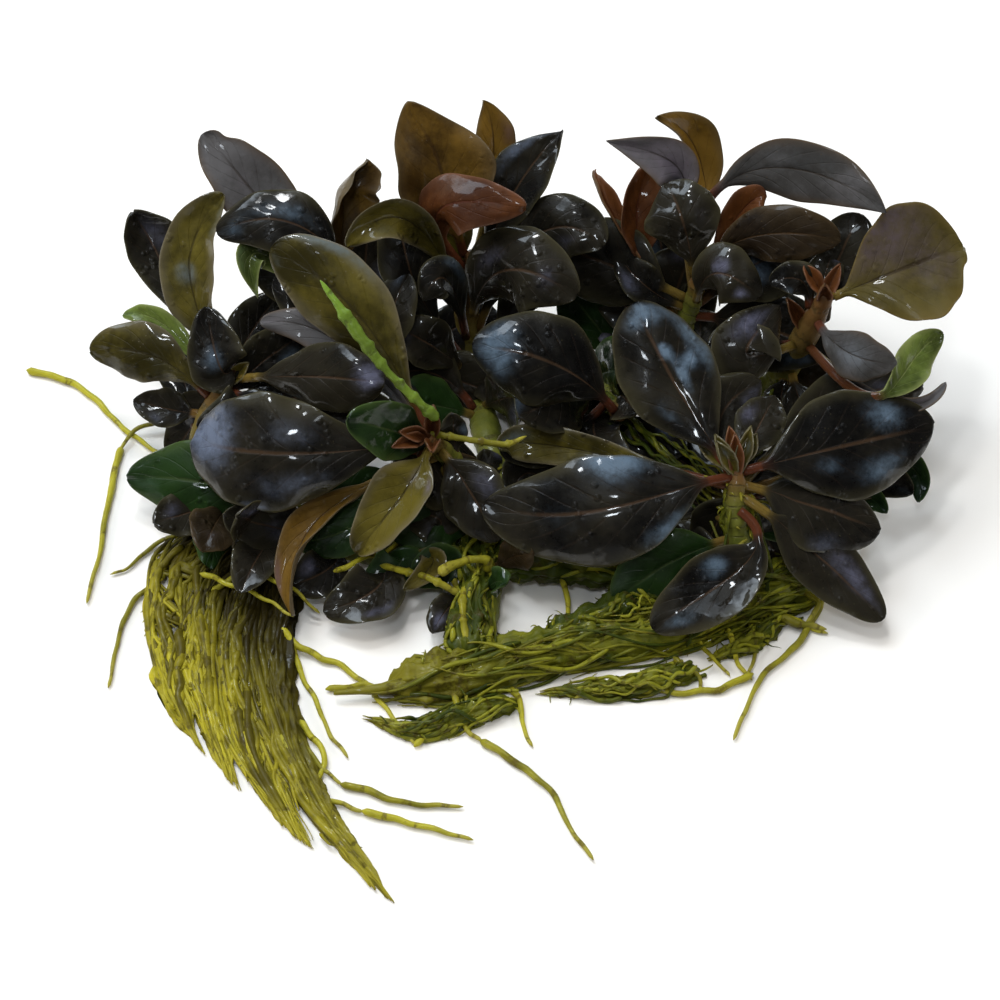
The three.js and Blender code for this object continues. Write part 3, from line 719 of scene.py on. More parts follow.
def collars(draws, path, shares, sides):
    """Raised leaf scars round a stem, as shares of its radius."""
    angles = np.linspace(0, 2 * math.pi, sides, endpoint=False)
    total = np.zeros((len(shares), sides))
    at = draws.uniform(*COLLAR_PITCH)
    while at < path.length:
        away = (shares * path.length - at) / COLLAR_WIDTH
        round_it = 0.6 + 0.4 * np.cos(angles - draws.uniform(0, TURN))
        total += (np.exp(-away ** 2) - 0.8 * np.exp(-(away + 1.8) ** 2))[:, None] * round_it[None]
        at += draws.uniform(*COLLAR_PITCH)
    return total


for name, path in STEM_PATHS.items():
    draws = draws_for(name)
    shares = np.linspace(0, 1, round(path.length / STEM_ROW))
    radii = (stem_radius(name, shares) * rounded_ends(shares))[:, None] * (
        0.97 + 0.05 * lumps(draws, shares, STEM_SIDES, path.length / 12)
        + 0.07 * collars(draws, path, shares, STEM_SIDES)
    )
    finish = "rhizome"
    if name == "front_rhizome":
        # Its old end has thinned, and roots have grown over it
        radii *= np.interp(shares, [0, 0.72, 1], [1, 0.95, 0.25])[:, None]
        finish = "mat"
    skin = Skin()
    skin.add(tube_rings(path.at(shares), radii, STEM_SIDES), tube_marks(len(shares), STEM_SIDES), 0.5)
    skin.piece(name + "_skin", STEM_FINISHES[finish], "rhizome", [name])
print(len(STEM_PATHS), "stems, the longest", round(max(p.length for p in STEM_PATHS.values())), "mm")

# %% [markdown]
# A leaf starts on its stem, on the side that it leans to, and runs along a Bezier curve through
# one or two places to its tip. A curve needs few numbers, and they can be read off a picture.
# Leaves in front have a fine grid of points, and small or hidden ones a coarse one.

# %% The line of a leaf
PETIOLE_RADIUS = 0.7
BLADE_HALF_THICKNESS = 0.2
FLATTENING_SHARE = 0.25
LAST_ROW = 0.9985


def leaf_grid(rows, half):
    """The share along of each row, and the place across and the side of each point of a ring."""
    half = np.array(half)
    face = np.concatenate([half[::-1], -half[1:]])
    across = np.concatenate([face, face[-2:0:-1]])[None]
    side = np.concatenate([np.ones(len(face)), -np.ones(len(face) - 2)])[None]
    side[0, [0, len(face) - 1]] = 0
    steps = np.linspace(0, 1, rows)
    return (0.45 * steps + 0.55 * np.sin(steps * math.pi / 2)) * LAST_ROW, across, side


FINE = leaf_grid(54, [0, 0.035, 0.08, 0.15, 0.25, 0.37, 0.50, 0.63, 0.75, 0.85, 0.93, 0.98, 1.0])
COARSE = leaf_grid(30, [0, 0.06, 0.18, 0.38, 0.62, 0.84, 0.97, 1.0])


def bezier(pulls, t):
    """Points and directions of a Bezier curve."""
    degree = len(pulls) - 1
    pulls = np.array(pulls)
    weights = [math.comb(degree, i) * (1 - t) ** (degree - i) * t ** i for i in range(degree + 1)]
    points = sum(w[:, None] * p for w, p in zip(weights, pulls))
    edges = degree * (pulls[1:] - pulls[:-1])
    weights = [math.comb(degree - 1, i) * (1 - t) ** (degree - 1 - i) * t ** i for i in range(degree)]
    return points, unit(sum(w[:, None] * e for w, e in zip(weights, edges)))


def leaf_line(stem, at, through, tip):
    """The pulls of the curve from just inside the stem, through one or two places, to the tip."""
    through = [place(*p) for p in through]
    tip = place(*tip)
    path = STEM_PATHS[stem]
    centre, along = path.at(at), path.along(at)
    outward = through[0] - centre
    outward = unit(outward - outward.dot(along) * along)
    base = centre + outward * (stem_radius(stem, at) - 0.3)
    if len(through) == 1:
        return [base, 2 * through[0] - base / 2 - tip / 2, tip]
    first, second = through
    return [
        base,
        3 * first - 5 / 6 * base - 3 / 2 * second + tip / 3,
        3 * second - 5 / 6 * tip - 3 / 2 * first + base / 3,
        tip,
    ]


print("a fine leaf has", FINE[0].size * FINE[1].size, "points, and a coarse one", COARSE[0].size * COARSE[1].size)

# %% [markdown]
# Across the line the blade is built up in layers, as one would describe it: its outline, then
# how it is folded and cupped, then its wavy edge, then the midrib and the hollows between side
# veins, and last its thickness. All rows are worked out at once with arrays. The two faces are
# joined at a thin rim, so every leaf is a closed solid.


# %% The shape of a blade
def leaf_rings(
    name, line, width, roll=0, twist=0, fold=8, stalk=0.1, widest=1.05, point=0.5,
    cup=0, wave=0.5, hook=0, lean=0, notches=(), sheens=None, grid=FINE,
):
    """The rings of one leaf, and the marks of their points. Angles are in degrees, hook and lean in mm."""
    draws = draws_for(name)
    t, across, side_of = grid
    middle, along = bezier(line, t)
    facing = unit(TO_EYE - (along @ TO_EYE)[:, None] * along)
    turn = np.radians(roll + twist * (t - 0.5))[:, None]
    facing = facing * np.cos(turn) + np.cross(along, facing) * np.sin(turn)
    sideways = np.cross(facing, along)

    blade = np.clip((t - stalk) / (1 - stalk), 0, 1)[:, None]
    swell = np.sin(math.pi * blade ** widest) ** (1 + (point - 1) * blade)
    on_blade = smooth(blade, 0.02, 0.25)
    half_width = ((width / 2 * swell) ** 4 + (PETIOLE_RADIUS * (1 - blade)) ** 4) ** 0.25

    out = np.abs(across)
    right = across > 0
    phases = draws.uniform(0, 2 * math.pi, (2, 4))
    near_phase = np.where(right, phases[0, 0], phases[1, 0]) + 2 * math.pi * 1.7 * t[:, None]
    far_phase = np.where(right, phases[0, 1], phases[1, 1]) + 2 * math.pi * 4.3 * t[:, None]
    half_width = half_width * (1 + on_blade * (0.025 * np.sin(near_phase) + 0.018 * np.sin(far_phase)))
    for share, side, depth, size in notches:
        bite = depth * np.exp(-(((blade - share) / size) ** 2))
        half_width = half_width * (1 - np.where(across * side > 0, bite, 0))

    valley = (np.sqrt(across ** 2 + 0.02) - math.sqrt(0.02)) / (math.sqrt(1.02) - math.sqrt(0.02))
    lift = half_width * math.sin(math.radians(fold)) * valley
    edge = wave * on_blade * out ** 2.5
    lift = lift + edge * (0.7 * np.sin(near_phase + phases[0, 2]) + 0.35 * np.sin(far_phase + phases[0, 3]))
    lift = lift + hook * smooth(blade, 0.62, 1.0) ** 1.5
    for waves_along, waves_across, size in ((1.6, 0.9, 0.16), (2.7, -1.4, 0.09), (4.1, 2.3, 0.04)):
        turn = 2 * math.pi * (waves_along * blade + waves_across * across / 2) + draws.uniform(0, TURN)
        lift = lift + size * on_blade * np.sin(turn) * np.minimum(1, width / 10)
    shift = lean * smooth(blade, 0.55, 1.0) ** 1.5

    slant = VEINS * blade - VEINS * VEIN_SLANT * out ** 0.8
    to_vein = np.abs(slant - np.round(slant)) * 2
    quilt = 0.06 * (smooth(to_vein, 0.0, 0.8) - 1) * on_blade * (1 - out ** 5) * (1 - 0.5 * blade)
    distance = out * half_width
    rib = (1 - blade) ** 0.7 * on_blade
    groove = np.where(side_of > 0, 0.26, 0.42) * rib * np.exp(-((distance / 0.55) ** 2))

    flattened = np.minimum(1, blade / FLATTENING_SHARE)
    power = 2 + 3 * flattened
    half = PETIOLE_RADIUS + (BLADE_HALF_THICKNESS - PETIOLE_RADIUS) * flattened
    thick = half * np.sqrt(np.clip(1 - out ** power, 0, 1)) * side_of

    bend = math.radians(cup) * on_blade + 1e-6
    angle = bend * across
    place_across = half_width * np.sin(angle) / bend
    lift = lift + half_width * (1 - np.cos(angle)) / bend
    skin_way = thick + quilt - groove
    rings = (
        middle[:, None]
        + (place_across + shift - skin_way * np.sin(angle))[..., None] * sideways[:, None]
        + (lift + skin_way * np.cos(angle))[..., None] * facing[:, None]
    )
    # Sheens are painted reflections of the light, and below 0 dark spots; where none are given, one is drawn at
    # random
    if sheens is None:
        sheens = [(draws.uniform(0.4, 1.0), draws.uniform(-0.9, 0.9), 0.18, 0.4, draws.uniform(0.2, 0.9))]
    marks = np.zeros((*rings.shape[:2], 4))
    marks[..., 0] = np.where(t < stalk, (t - stalk) / max(stalk, 0.01), blade[:, 0])[:, None]
    marks[..., 1] = across
    marks[..., 2] = side_of
    # Painted reflection: each sheen adds where the light's reflection is painted on the blade
    for along_at, across_at, length, breadth, strength in sheens:
        away = ((blade - along_at) / length) ** 2 + ((across - across_at) / breadth) ** 2
        marks[..., 3] += strength * np.exp(-away)
    return rings, marks


def add_leaf(skin, name, stem, at, through, tip, width, mood=None, **shape):
    """Add a leaf to a skin. Its mood, from 0 to 1, makes it lighter and its painted sheen more lilac."""
    rings, marks = leaf_rings(name, leaf_line(stem, at, through, tip), width, **shape)
    skin.add(rings, marks, draws_for(name + " mood").uniform(0, 1) if mood is None else mood)


visible_skins = []
leaf_stems = []


def leaf(name, stem, at, through, tip, width, finish, **shape):
    """One leaf that stands for the solid of the same name."""
    skin = Skin()
    visible_skins.append(skin)
    leaf_stems.append(stem)
    add_leaf(skin, name, stem, at, through, tip, width, **shape)
    return skin.piece(name + "_blade", LEAF_FINISHES[finish], LEAF_SLOTS[finish], [name])


print("a blade is", 2 * BLADE_HALF_THICKNESS, "mm thick")


# %% [markdown]
# Now the leaves, crown by crown, each with what is its own: a hooked tip, a rolled edge, a
# bite out of the rim. Roll turns the blade from facing the eye, twist turns it further towards
# the tip, fold lifts both halves and cup bends them round, upwards if it is positive. Widest over
# 1 puts the broadest place past the middle, and point is 0.5 for a round tip and 1 for a sharp one.
# Sheens are the places where a reflection of the light is painted on the blade, and one below 0 is a dark spot.

# %% Leaves of the left crown
LEFT = "left_rhizome"
leaf("left_sickle_leaf", LEFT, 0.99, [(-46.5, 34, 25)], (-41.5, 46, 34), 9.5, "olive",
     roll=-20, twist=20, fold=4, stalk=0.1, widest=0.9, cup=30, wave=0.4,
     sheens=[(0.45, 0.1, 0.08, 0.4, 1.0), (0.85, -0.8, 0.2, 0.3, 0.5)])
leaf("left_upright_leaf", LEFT, 0.95, [(-50, 34, 18)], (-54.5, 43.5, 25), 9.5, "dark",
     roll=15, fold=8, stalk=0.2, cup=25, wave=0.4, lean=0.6, sheens=[(0.7, -0.3, 0.3, 0.5, 0.5)])
leaf("left_blunt_leaf", LEFT, 0.9, [(-52, 21.5, 18)], (-61.5, 22.5, 17), 9.5, "olive", mood=0.0,
     roll=-10, fold=4, stalk=0.1, widest=1.2, cup=-35, wave=0.5, sheens=[(0.3, 0.3, 0.2, 0.5, 0.3)])
leaf("left_inner_leaf", LEFT, 0.97, [(-28, 18.5, 23)], (-17.5, 17.5, 25.5), 11, "dark",
     roll=5, fold=2, stalk=0.15, cup=-40, wave=0.3, hook=-1.2, sheens=[(0.88, 0.2, 0.14, 0.6, 1.1)])
leaf("left_low_leaf", LEFT, 0.5, [(-42, 2, 8.5)], (-56.5, 3.5, 8), 13.5, "green",
     fold=2, stalk=0.1, cup=-30, wave=0.5, hook=-1.5, sheens=[(0.9, 0.3, 0.12, 0.4, 0.6)])
leaf("front_black_leaf", LEFT, 0.2, [(-18.5, -13.2, 5)], (-26.5, -16.8, 4), 9, "dark",
     roll=10, fold=6, stalk=0.1, cup=15, sheens=[(0.6, 0.7, 0.2, 0.2, 0.6)])
print("left crown:", leaf_stems.count(LEFT), "leaves")

# %% Leaves of the back left crown
BACK_LEFT = "back_left_shoot"
leaf("violet_leaf", BACK_LEFT, 0.99, [(-34.5, 43, 28)], (-44.5, 55, 38), 11, "violet",
     roll=10, fold=4, stalk=0.2, cup=20, hook=-0.8, notches=[(0.9, -1, 0.25, 0.05)])
leaf("arched_blue_leaf", BACK_LEFT, 0.97, [(-26, 38, 29), (-33, 42, 33)], (-42.5, 40, 31), 10.5, "dark",
     roll=10, fold=4, stalk=0.25, cup=-25, sheens=[(0.55, -0.3, 0.3, 0.35, 0.6), (0.9, 0.2, 0.1, 0.4, 0.5)])
leaf("curled_brown_leaf", BACK_LEFT, 0.93, [(-23.5, 43, 28)], (-22.5, 51.5, 35), 10.5, "brown",
     roll=35, twist=30, fold=14, stalk=0.2, point=0.9, cup=80, wave=1.3, lean=-2.6, hook=1.5,
     notches=[(0.78, 1, 0.5, 0.09), (0.6, -1, 0.2, 0.05)])
print("back left crown:", leaf_stems.count(BACK_LEFT), "leaves")

# %% Leaves of the front left crown
FRONT_LEFT = "front_left_shoot"
leaf("big_left_leaf", FRONT_LEFT, 0.98, [(-31, 7, 20)], (-47, 9, 17), 17.5, "dark", mood=0.5,
     roll=-5, fold=5, stalk=0.1, widest=1.25, point=0.32, cup=-28, wave=0.7, hook=-1.2,
     sheens=[(0.90, -0.25, 0.15, 0.7, 1.35), (0.45, -0.35, 0.16, 0.3, 0.5), (0.45, 0.55, 0.2, 0.25, 0.6),
             (0.62, 0.98, 0.06, 0.12, 1.2), (0.70, 0.1, 0.02, 0.05, -1.0)])
leaf("long_olive_leaf", FRONT_LEFT, 0.96, [(-21.5, 28, 30)], (-34.5, 37.5, 37), 12.5, "olive",
     roll=-10, fold=4, stalk=0.1, widest=1.25, cup=-30, wave=0.4, hook=-1.0,
     sheens=[(0.75, -0.9, 0.28, 0.22, 1.0), (0.95, 0.4, 0.06, 0.4, 0.5)])
leaf("hanging_leaf", FRONT_LEFT, 0.9, [(-14.5, 1, 15)], (-21.5, -8, 8), 9.5, "olive",
     roll=15, fold=10, stalk=0.1, cup=40, wave=0.6, sheens=[(0.25, 0.0, 0.12, 0.25, 0.8), (0.3, 0.8, 0.1, 0.2, 0.9)])
leaf("narrow_curled_leaf", FRONT_LEFT, 0.7, [(-20, 2, 12), (-29, -5, 10)], (-31, -17.5, 4), 6, "brown",
     roll=30, twist=40, fold=10, stalk=0.3, cup=60, wave=0.4, sheens=[(0.8, -0.9, 0.12, 0.3, 1.2)])
print("front left crown:", leaf_stems.count(FRONT_LEFT), "leaves")

# %% Leaves of the middle crowns
CROSS = "cross_rhizome"
MIDDLE = "middle_shoot"
leaf("red_brown_leaf", CROSS, 0.97, [(-9, 43.5, 32)], (4, 44, 35), 10, "red",
     roll=-10, fold=3, stalk=0.15, cup=-30, wave=0.4)
leaf("tall_brown_leaf", CROSS, 0.99, [(-8, 46, 31)], (-11.5, 60.5, 43), 15.5, "brown", widest=1.25,
     roll=10, twist=30, fold=6, stalk=0.15, point=0.75, cup=25, lean=2.4, wave=0.8,
     sheens=[(0.8, 0.5, 0.2, 0.4, 0.5)])
leaf("tall_back_leaf", CROSS, 0.96, [(-1, 50, 30)], (-2.5, 60, 39), 7, "brown",
     roll=20, fold=8, stalk=0.2, point=0.9, cup=20)
leaf("pointed_back_leaf", CROSS, 0.93, [(2, 46, 29)], (9.5, 55.5, 36), 9.5, "dark",
     roll=-15, fold=8, stalk=0.15, point=1.1, cup=20, sheens=[(0.7, 0.8, 0.25, 0.25, 0.9)])
leaf("grey_middle_leaf", CROSS, 0.91, [(7, 40.5, 27)], (15.5, 38, 27), 11, "dark",
     fold=4, stalk=0.15, cup=-30, sheens=[(0.6, -0.4, 0.2, 0.3, 0.4)])
leaf("upright_middle_leaf", CROSS, 0.74, [(-13, 33, 21)], (-14.5, 44, 27), 9, "dark",
     roll=20, fold=6, stalk=0.2, cup=-20, sheens=[(0.8, 0.3, 0.15, 0.4, 0.4)])
leaf("drop_leaf", CROSS, 0.86, [(1, 34.5, 26.5)], (11.5, 30.5, 25.5), 14, "dark",
     roll=5, fold=3, stalk=0.05, cup=-30, wave=0.5, sheens=[(0.35, 0.4, 0.15, 0.25, 0.6), (0.8, 0, 0.1, 0.5, 0.4)])
leaf("big_middle_leaf", MIDDLE, 0.95, [(8, 20.5, 22)], (-4.5, 23, 23.5), 15, "dark",
     fold=3, stalk=0.1, cup=-35, wave=0.5, hook=-1.5, sheens=[(0.84, 0.0, 0.14, 0.75, 1.1)])
print("middle crowns:", leaf_stems.count(CROSS) + leaf_stems.count(MIDDLE), "leaves")

# %% Leaves of the back right crown
BACK_RIGHT = "back_right_shoot"
leaf("long_grey_leaf", BACK_RIGHT, 0.9, [(33, 47, 33), (45, 49.5, 38)], (58, 43, 36.5), 9.5, "violet",
     roll=25, fold=8, stalk=0.33, point=0.9, cup=-20, wave=0.3, sheens=[(0.5, 0.3, 0.5, 0.5, 0.4)])
leaf("pale_turned_leaf", BACK_RIGHT, 0.8, [(28, 44.5, 29.5), (26, 50.5, 35.5)], (16, 54, 38), 7.5, "violet",
     roll=-20, fold=10, stalk=0.33, point=0.9, cup=30, wave=0.3, hook=0.8, sheens=[(0.5, 0, 0.6, 1.2, 1.0)])
leaf("hooked_leaf", BACK_RIGHT, 0.7, [(30.5, 49, 28.5)], (23.5, 58.5, 40), 7.5, "brown",
     roll=15, twist=30, fold=10, stalk=0.3, point=0.9, cup=40, lean=1.0)
leaf("young_red_leaf", BACK_RIGHT, 0.45, [(21.5, 36, 22), (20.5, 43, 28)], (22, 50, 32.5), 8, "red",
     roll=20, fold=12, stalk=0.3, cup=50)
leaf("dark_back_leaf", BACK_RIGHT, 0.99, [(27.5, 41.5, 32)], (25, 47.5, 34.5), 12, "dark",
     roll=-10, fold=4, stalk=0.1, cup=-30, sheens=[(0.5, -0.5, 0.2, 0.3, 0.3)])
leaf("glossy_back_leaf", BACK_RIGHT, 0.76, [(32.5, 34, 28)], (39, 30.5, 26), 10, "dark",
     fold=3, stalk=0.1, cup=-35, sheens=[(0.5, 0.2, 0.12, 0.3, 0.9), (0.85, -0.4, 0.08, 0.3, 0.8)])
leaf("round_brown_leaf", BACK_RIGHT, 0.93, [(35, 38.5, 29), (43, 40, 33)], (51, 39, 32), 9, "umber",
     roll=10, fold=4, stalk=0.2, cup=-30, sheens=[(0.7, 0.2, 0.2, 0.4, -0.2)])
print("back right crown:", leaf_stems.count(BACK_RIGHT), "leaves")

# %% Leaves of the far right crown
BACK = "back_rhizome"
leaf("two_lobed_leaf", BACK, 0.99, [(60, 34.5, 29)], (69.5, 38, 30), 18, "turned",
     roll=-5, fold=10, stalk=0.05, widest=1.25, cup=15, wave=0.8, notches=[(0.93, -1, 0.35, 0.06)],
     sheens=[(0.45, 0.8, 0.4, 1.0, 0.9), (0.8, -0.3, 0.2, 0.6, 0.5)])
leaf("grey_right_leaf", BACK, 0.93, [(52.5, 22, 26)], (59.5, 20.5, 26), 7.5, "violet",
     roll=20, fold=8, stalk=0.1, cup=-25, sheens=[(0.5, 0, 0.3, 0.6, 0.8)])
leaf("pale_green_leaf", BACK, 0.86, [(56, 15.5, 22), (61, 19.5, 23)], (66.5, 25, 24), 6, "pale", mood=0.0,
     roll=10, fold=8, stalk=0.4, cup=20, wave=0.6)
print("far right crown:", leaf_stems.count(BACK), "leaves")

# %% Leaves of the right crown
RIGHT = "right_shoot"
# Its small strong sheens along the midrib are painted glints
leaf("spotted_leaf", RIGHT, 0.97, [(26, 18, 27)], (20, 29.5, 33), 15, "dark", mood=0.3,
     roll=5, fold=4, stalk=0.1, cup=-32, wave=0.5,
     sheens=[(0.90, -0.1, 0.10, 0.6, 1.2), (0.62, -0.12, 0.05, 0.12, 1.5), (0.50, -0.45, 0.05, 0.12, 1.5),
             (0.45, -0.2, 0.12, 0.08, 1.3), (0.6, -0.8, 0.25, 0.2, 0.9), (0.3, 0.5, 0.1, 0.2, 0.5)])
leaf("long_left_pointing_leaf", RIGHT, 0.93, [(25, 1, 19), (12, -2, 17)], (-2.5, -0.5, 14), 16.5, "dark", mood=0.15,
     fold=3, stalk=0.15, cup=-30, wave=0.6,
     sheens=[(0.42, -0.9, 0.14, 0.4, 1.6), (0.25, 0.8, 0.12, 0.25, 0.9), (0.7, 0.1, 0.2, 0.5, 0.25),
             (0.80, 0.45, 0.02, 0.06, -1.0), (0.57, 0.35, 0.025, 0.07, -1.0)])
leaf("big_right_leaf", RIGHT, 0.99, [(51, 8, 20)], (65, 11, 18), 16.5, "dark",
     fold=4, stalk=0.1, cup=-28, wave=0.6,
     sheens=[(0.74, 0.45, 0.12, 0.35, 0.9), (0.66, -0.55, 0.15, 0.25, 0.9), (0.35, -0.3, 0.1, 0.2, 0.6)])
leaf("right_under_leaf", RIGHT, 0.85, [(50, 14, 14)], (63.5, 17, 15), 10, "dark",
     fold=6, stalk=0.15, cup=-20)
leaf("low_right_leaf", RIGHT, 0.75, [(42, -3.5, 14), (49.5, -10, 9)], (57.5, -18, 4), 9.5, "dark",
     roll=-10, fold=5, stalk=0.25, cup=-25, wave=0.3,
     sheens=[(0.28, 0.2, 0.07, 0.35, 1.2), (0.7, 0.3, 0.25, 0.4, 0.7)])
leaf("low_front_leaf", RIGHT, 0.65, [(38, -8, 12.5), (31, -14, 9)], (23, -19.5, 5), 10, "dark",
     roll=10, fold=6, stalk=0.2, cup=20, sheens=[(0.45, -0.5, 0.09, 0.3, 1.2), (0.8, 0.3, 0.15, 0.4, 0.6)])
print("right crown:", leaf_stems.count(RIGHT), "leaves")

# %% [markdown]
# Deeper in the clump stand smaller leaves. In the solids they are one body with their stem, so
# here the leaves of a stem are one piece, which stands for the same solid as the stem's skin.
# Their places are those of the solids.

# %% The leaves that are one body with their stems
DEEP_LEAVES = {
    LEFT: [
        (0.93, (-38, 24, 14), (-33, 31, 17), 8), (0.85, (-49, 13.5, 10), (-55, 15, 10), 6),
        (0.8, (-47.5, 18, 9), (-51, 24, 11), 7), (0.46, (-36, -8, 6.5), (-39, -14, 6), 7),
        (0.6, (-36, 6, 8), (-31, 13, 11), 9), (0.12, (-9, -3, 6.5), (-16, -2, 7), 8),
    ],
    BACK_LEFT: [(0.55, (-26, 25, 14), (-33, 26, 17), 8)],
    CROSS: [
        (0.6, (-10, 19, 8), (-17, 18, 11), 9), (0.7, (-10, 23, 13), (-16, 26, 16), 8),
        (0.62, (5, 20, 9), (13, 23, 12), 10), (0.72, (4.5, 33, 15), (12, 38, 17), 9),
        (0.12, (-7.5, -16, 3.6), (-10, -20, 3.6), 5),
    ],
    MIDDLE: [(0.5, (9, 9.5, 9), (0, 7.5, 10), 8), (0.8, (23, 10, 11), (28, 7, 12), 7)],
    BACK_RIGHT: [(0.25, (20.5, 28, 12), (14.5, 32, 14), 8)],
    BACK: [
        (0.42, (20, 24, 8), (16, 30, 10), 9), (0.6, (37, 24, 10), (40, 31, 14), 9),
        (0.84, (38, 23, 19), (31, 23, 20), 10), (0.72, (48, 14, 9), (55, 12, 9.5), 9),
    ],
    RIGHT: [
        (0.95, (34.5, 12, 17), (36, 19, 18), 8), (0.55, (50, 4, 8), (62, 1, 6), 8),
        (0.35, (29, -7, 7), (22, -6, 7), 8),
    ],
}
for stem, rows in DEEP_LEAVES.items():
    skin = Skin()
    visible_skins.append(skin)
    draws = draws_for(stem + " leaves")
    for at, through, tip, width in rows:
        cup = draws.uniform(-30, 15)
        add_leaf(skin, f"{stem} {at}", stem, at, [through], tip, width, roll=5, stalk=0.15, cup=cup, grid=COARSE)
    skin.piece(stem + "_leaves", LEAF_FINISHES["dark"], LEAF_SLOTS["dark"], [stem])
print(sum(len(rows) for rows in DEEP_LEAVES.values()), "deeper leaves")

# %% [markdown]
# Between all these grow many small or half hidden leaves, some pale, red or dying, and short
# pointed sheaths stand round the crowns. They only fill the clump, so they are joined, one piece
# for each finish. They start on the same stems and use the same shape.

# %% Small leaves and sheaths
SMALL_LEAVES = {
    "dark": [
        (LEFT, 0.99, [(-42, 20, 18)], (-44, 29, 23), 9, {}),
        (LEFT, 0.93, [(-38, 14, 15)], (-45.5, 11, 14), 8, {}),
        (LEFT, 0.6, [(-38, 8, 12)], (-33, 16, 16), 8, {}),
        (BACK_LEFT, 0.5, [(-26, 27, 21)], (-34, 33, 26), 8, {"cup": -20}),
        (BACK_LEFT, 0.6, [(-17, 27, 18)], (-14, 34, 22), 8, {}),
        (CROSS, 0.8, [(-8, 33, 24)], (-11.5, 30, 23), 7, {"cup": -30}),
        (CROSS, 0.8, [(3, 38, 22)], (10, 42, 25), 9, {"cup": -20}),
        (BACK, 0.3, [(14, 11, 9)], (20, 5, 10), 9, {}),
        (BACK, 0.85, [(37, 22, 23)], (42, 29, 25), 11, {"cup": -30}),
        (BACK, 0.75, [(46, 13, 9)], (51, 7, 9), 9, {}),
        (BACK, 0.95, [(45, 33, 28.5)], (40.5, 32.5, 28), 5.5, {}),
        (RIGHT, 0.97, [(33, 12, 20)], (39, 18, 21), 10, {"cup": -20}),
        (BACK_RIGHT, 0.6, [(22, 32, 20)], (17.5, 37, 23), 6, {}),
        (RIGHT, 0.6, [(27, 6, 10)], (18, 9, 10), 9, {}),
        (RIGHT, 0.5, [(26, 1, 8.5)], (17, 3, 8), 9, {}),
        (MIDDLE, 0.4, [(21, 8, 7)], (27, 3, 6), 8, {}),
        (CROSS, 0.3, [(4, 4, 6)], (10, -1, 7), 8, {}),
        (LEFT, 0.3, [(-26, -10.5, 5)], (-32, -13, 4.5), 7.5, {}),
    ],
    "green": [
        (FRONT_LEFT, 0.5, [(-22, -4, 9)], (-30, -6, 7), 7.5, {"cup": -30}),
        (LEFT, 0.35, [(-25, -1, 7)], (-17, 4, 9), 9, {}),
        (CROSS, 0.25, [(-8, -3, 6)], (-16, -6, 5), 9, {}),
        (LEFT, 0.2, [(-15, -9.5, 4.5)], (-20.5, -12.5, 3.5), 8, {"cup": -20}),
        (CROSS, 0.15, [(-8.5, -10, 4)], (-13, -13, 3.2), 7, {}),
        (RIGHT, 0.8, [(58, 6, 9)], (62.7, -0.3, 5), 5, {"roll": 20}),
        (RIGHT, 0.7, [(50, 2, 7)], (58, -2, 4), 5, {}),
    ],
    "pale": [
        (LEFT, 0.93, [(-50, 26, 20)], (-56.5, 27.8, 20), 3.8, {"wave": 0.9}),
        (BACK_LEFT, 0.9, [(-36, 37, 28)], (-36.3, 30.2, 24), 5, {"cup": 30, "point": 0.9}),
    ],
    "olive": [
        (CROSS, 0.9, [(-14, 42, 31)], (-23, 38, 30), 7, {"cup": 50, "roll": -15}),
        (RIGHT, 0.85, [(9, 8, 12)], (0, 7.5, 12), 6, {}),
        (CROSS, 0.93, [(-8, 42, 27)], (-14, 46, 30), 8, {}),
        (LEFT, 0.15, [(-10, -9, 6)], (-14.5, -13.5, 5.5), 4, {"cup": 30}),
    ],
    "violet": [
        (FRONT_LEFT, 0.9, [(-24, 23.5, 22)], (-36, 26.5, 24), 6, {"cup": -20}),
        (BACK, 0.85, [(59, 14.5, 20)], (66.8, 17.6, 20.5), 2.6, {"cup": 60}),
    ],
    "red": [
        (BACK_RIGHT, 0.5, [(17, 43, 28)], (14.3, 49.5, 31), 3.4, {"point": 1.0, "cup": 80, "roll": 30}),
        (BACK_RIGHT, 0.95, [(36, 43, 31)], (40, 45.5, 33), 5.5, {"cup": 30}),
    ],
}
SHEATHS = [
    (FRONT_LEFT, 5, "red"), (RIGHT, 5, "olive"), (RIGHT, 3, "red"), (BACK, 4, "red"), (LEFT, 3, "olive"),
    (BACK_RIGHT, 3, "red"), (CROSS, 3, "brown"),
]
fill_skins = {finish: Skin() for finish in (*SMALL_LEAVES, "brown")}
for finish, rows in SMALL_LEAVES.items():
    for number, (stem, at, through, tip, width, shape) in enumerate(rows):
        name = f"small {finish} {number}"
        add_leaf(fill_skins[finish], name, stem, at, through, tip, width, grid=COARSE, **shape)
draws = draws_for("sheaths")
for stem, count, finish in SHEATHS:
    path = STEM_PATHS[stem]
    for number in range(count):
        at = draws.uniform(0.86, 0.99)
        way = unit(path.along(at) * 0.9 + draws.normal(0, 0.45, 3))
        base = path.at(at)
        tip = base + way * draws.uniform(5, 8)
        bow = base + way * 3.2 + np.array([0, 0, 0.6])
        shape = dict(fold=20, stalk=0.0, cup=60, point=1.0, wave=0.2, grid=COARSE)
        rings, marks = leaf_rings(f"{stem} sheath {finish} {number}", [base, bow, tip], 2.8, **shape)
        fill_skins[finish].add(rings, marks, draws.uniform(0, 1))
print(sum(len(rows) for rows in SMALL_LEAVES.values()), "small leaves and", sum(s[1] for s in SHEATHS), "sheaths")

# %% [markdown]
# A living clump is dense: behind every leaf are others. The eye looks through the clump at points
# a millimetre apart, and where it still sees the ground, inside the clump's outline and out of
# its open gaps, a leaf is wanted. Rays find these places surely, and quicker than a render would.

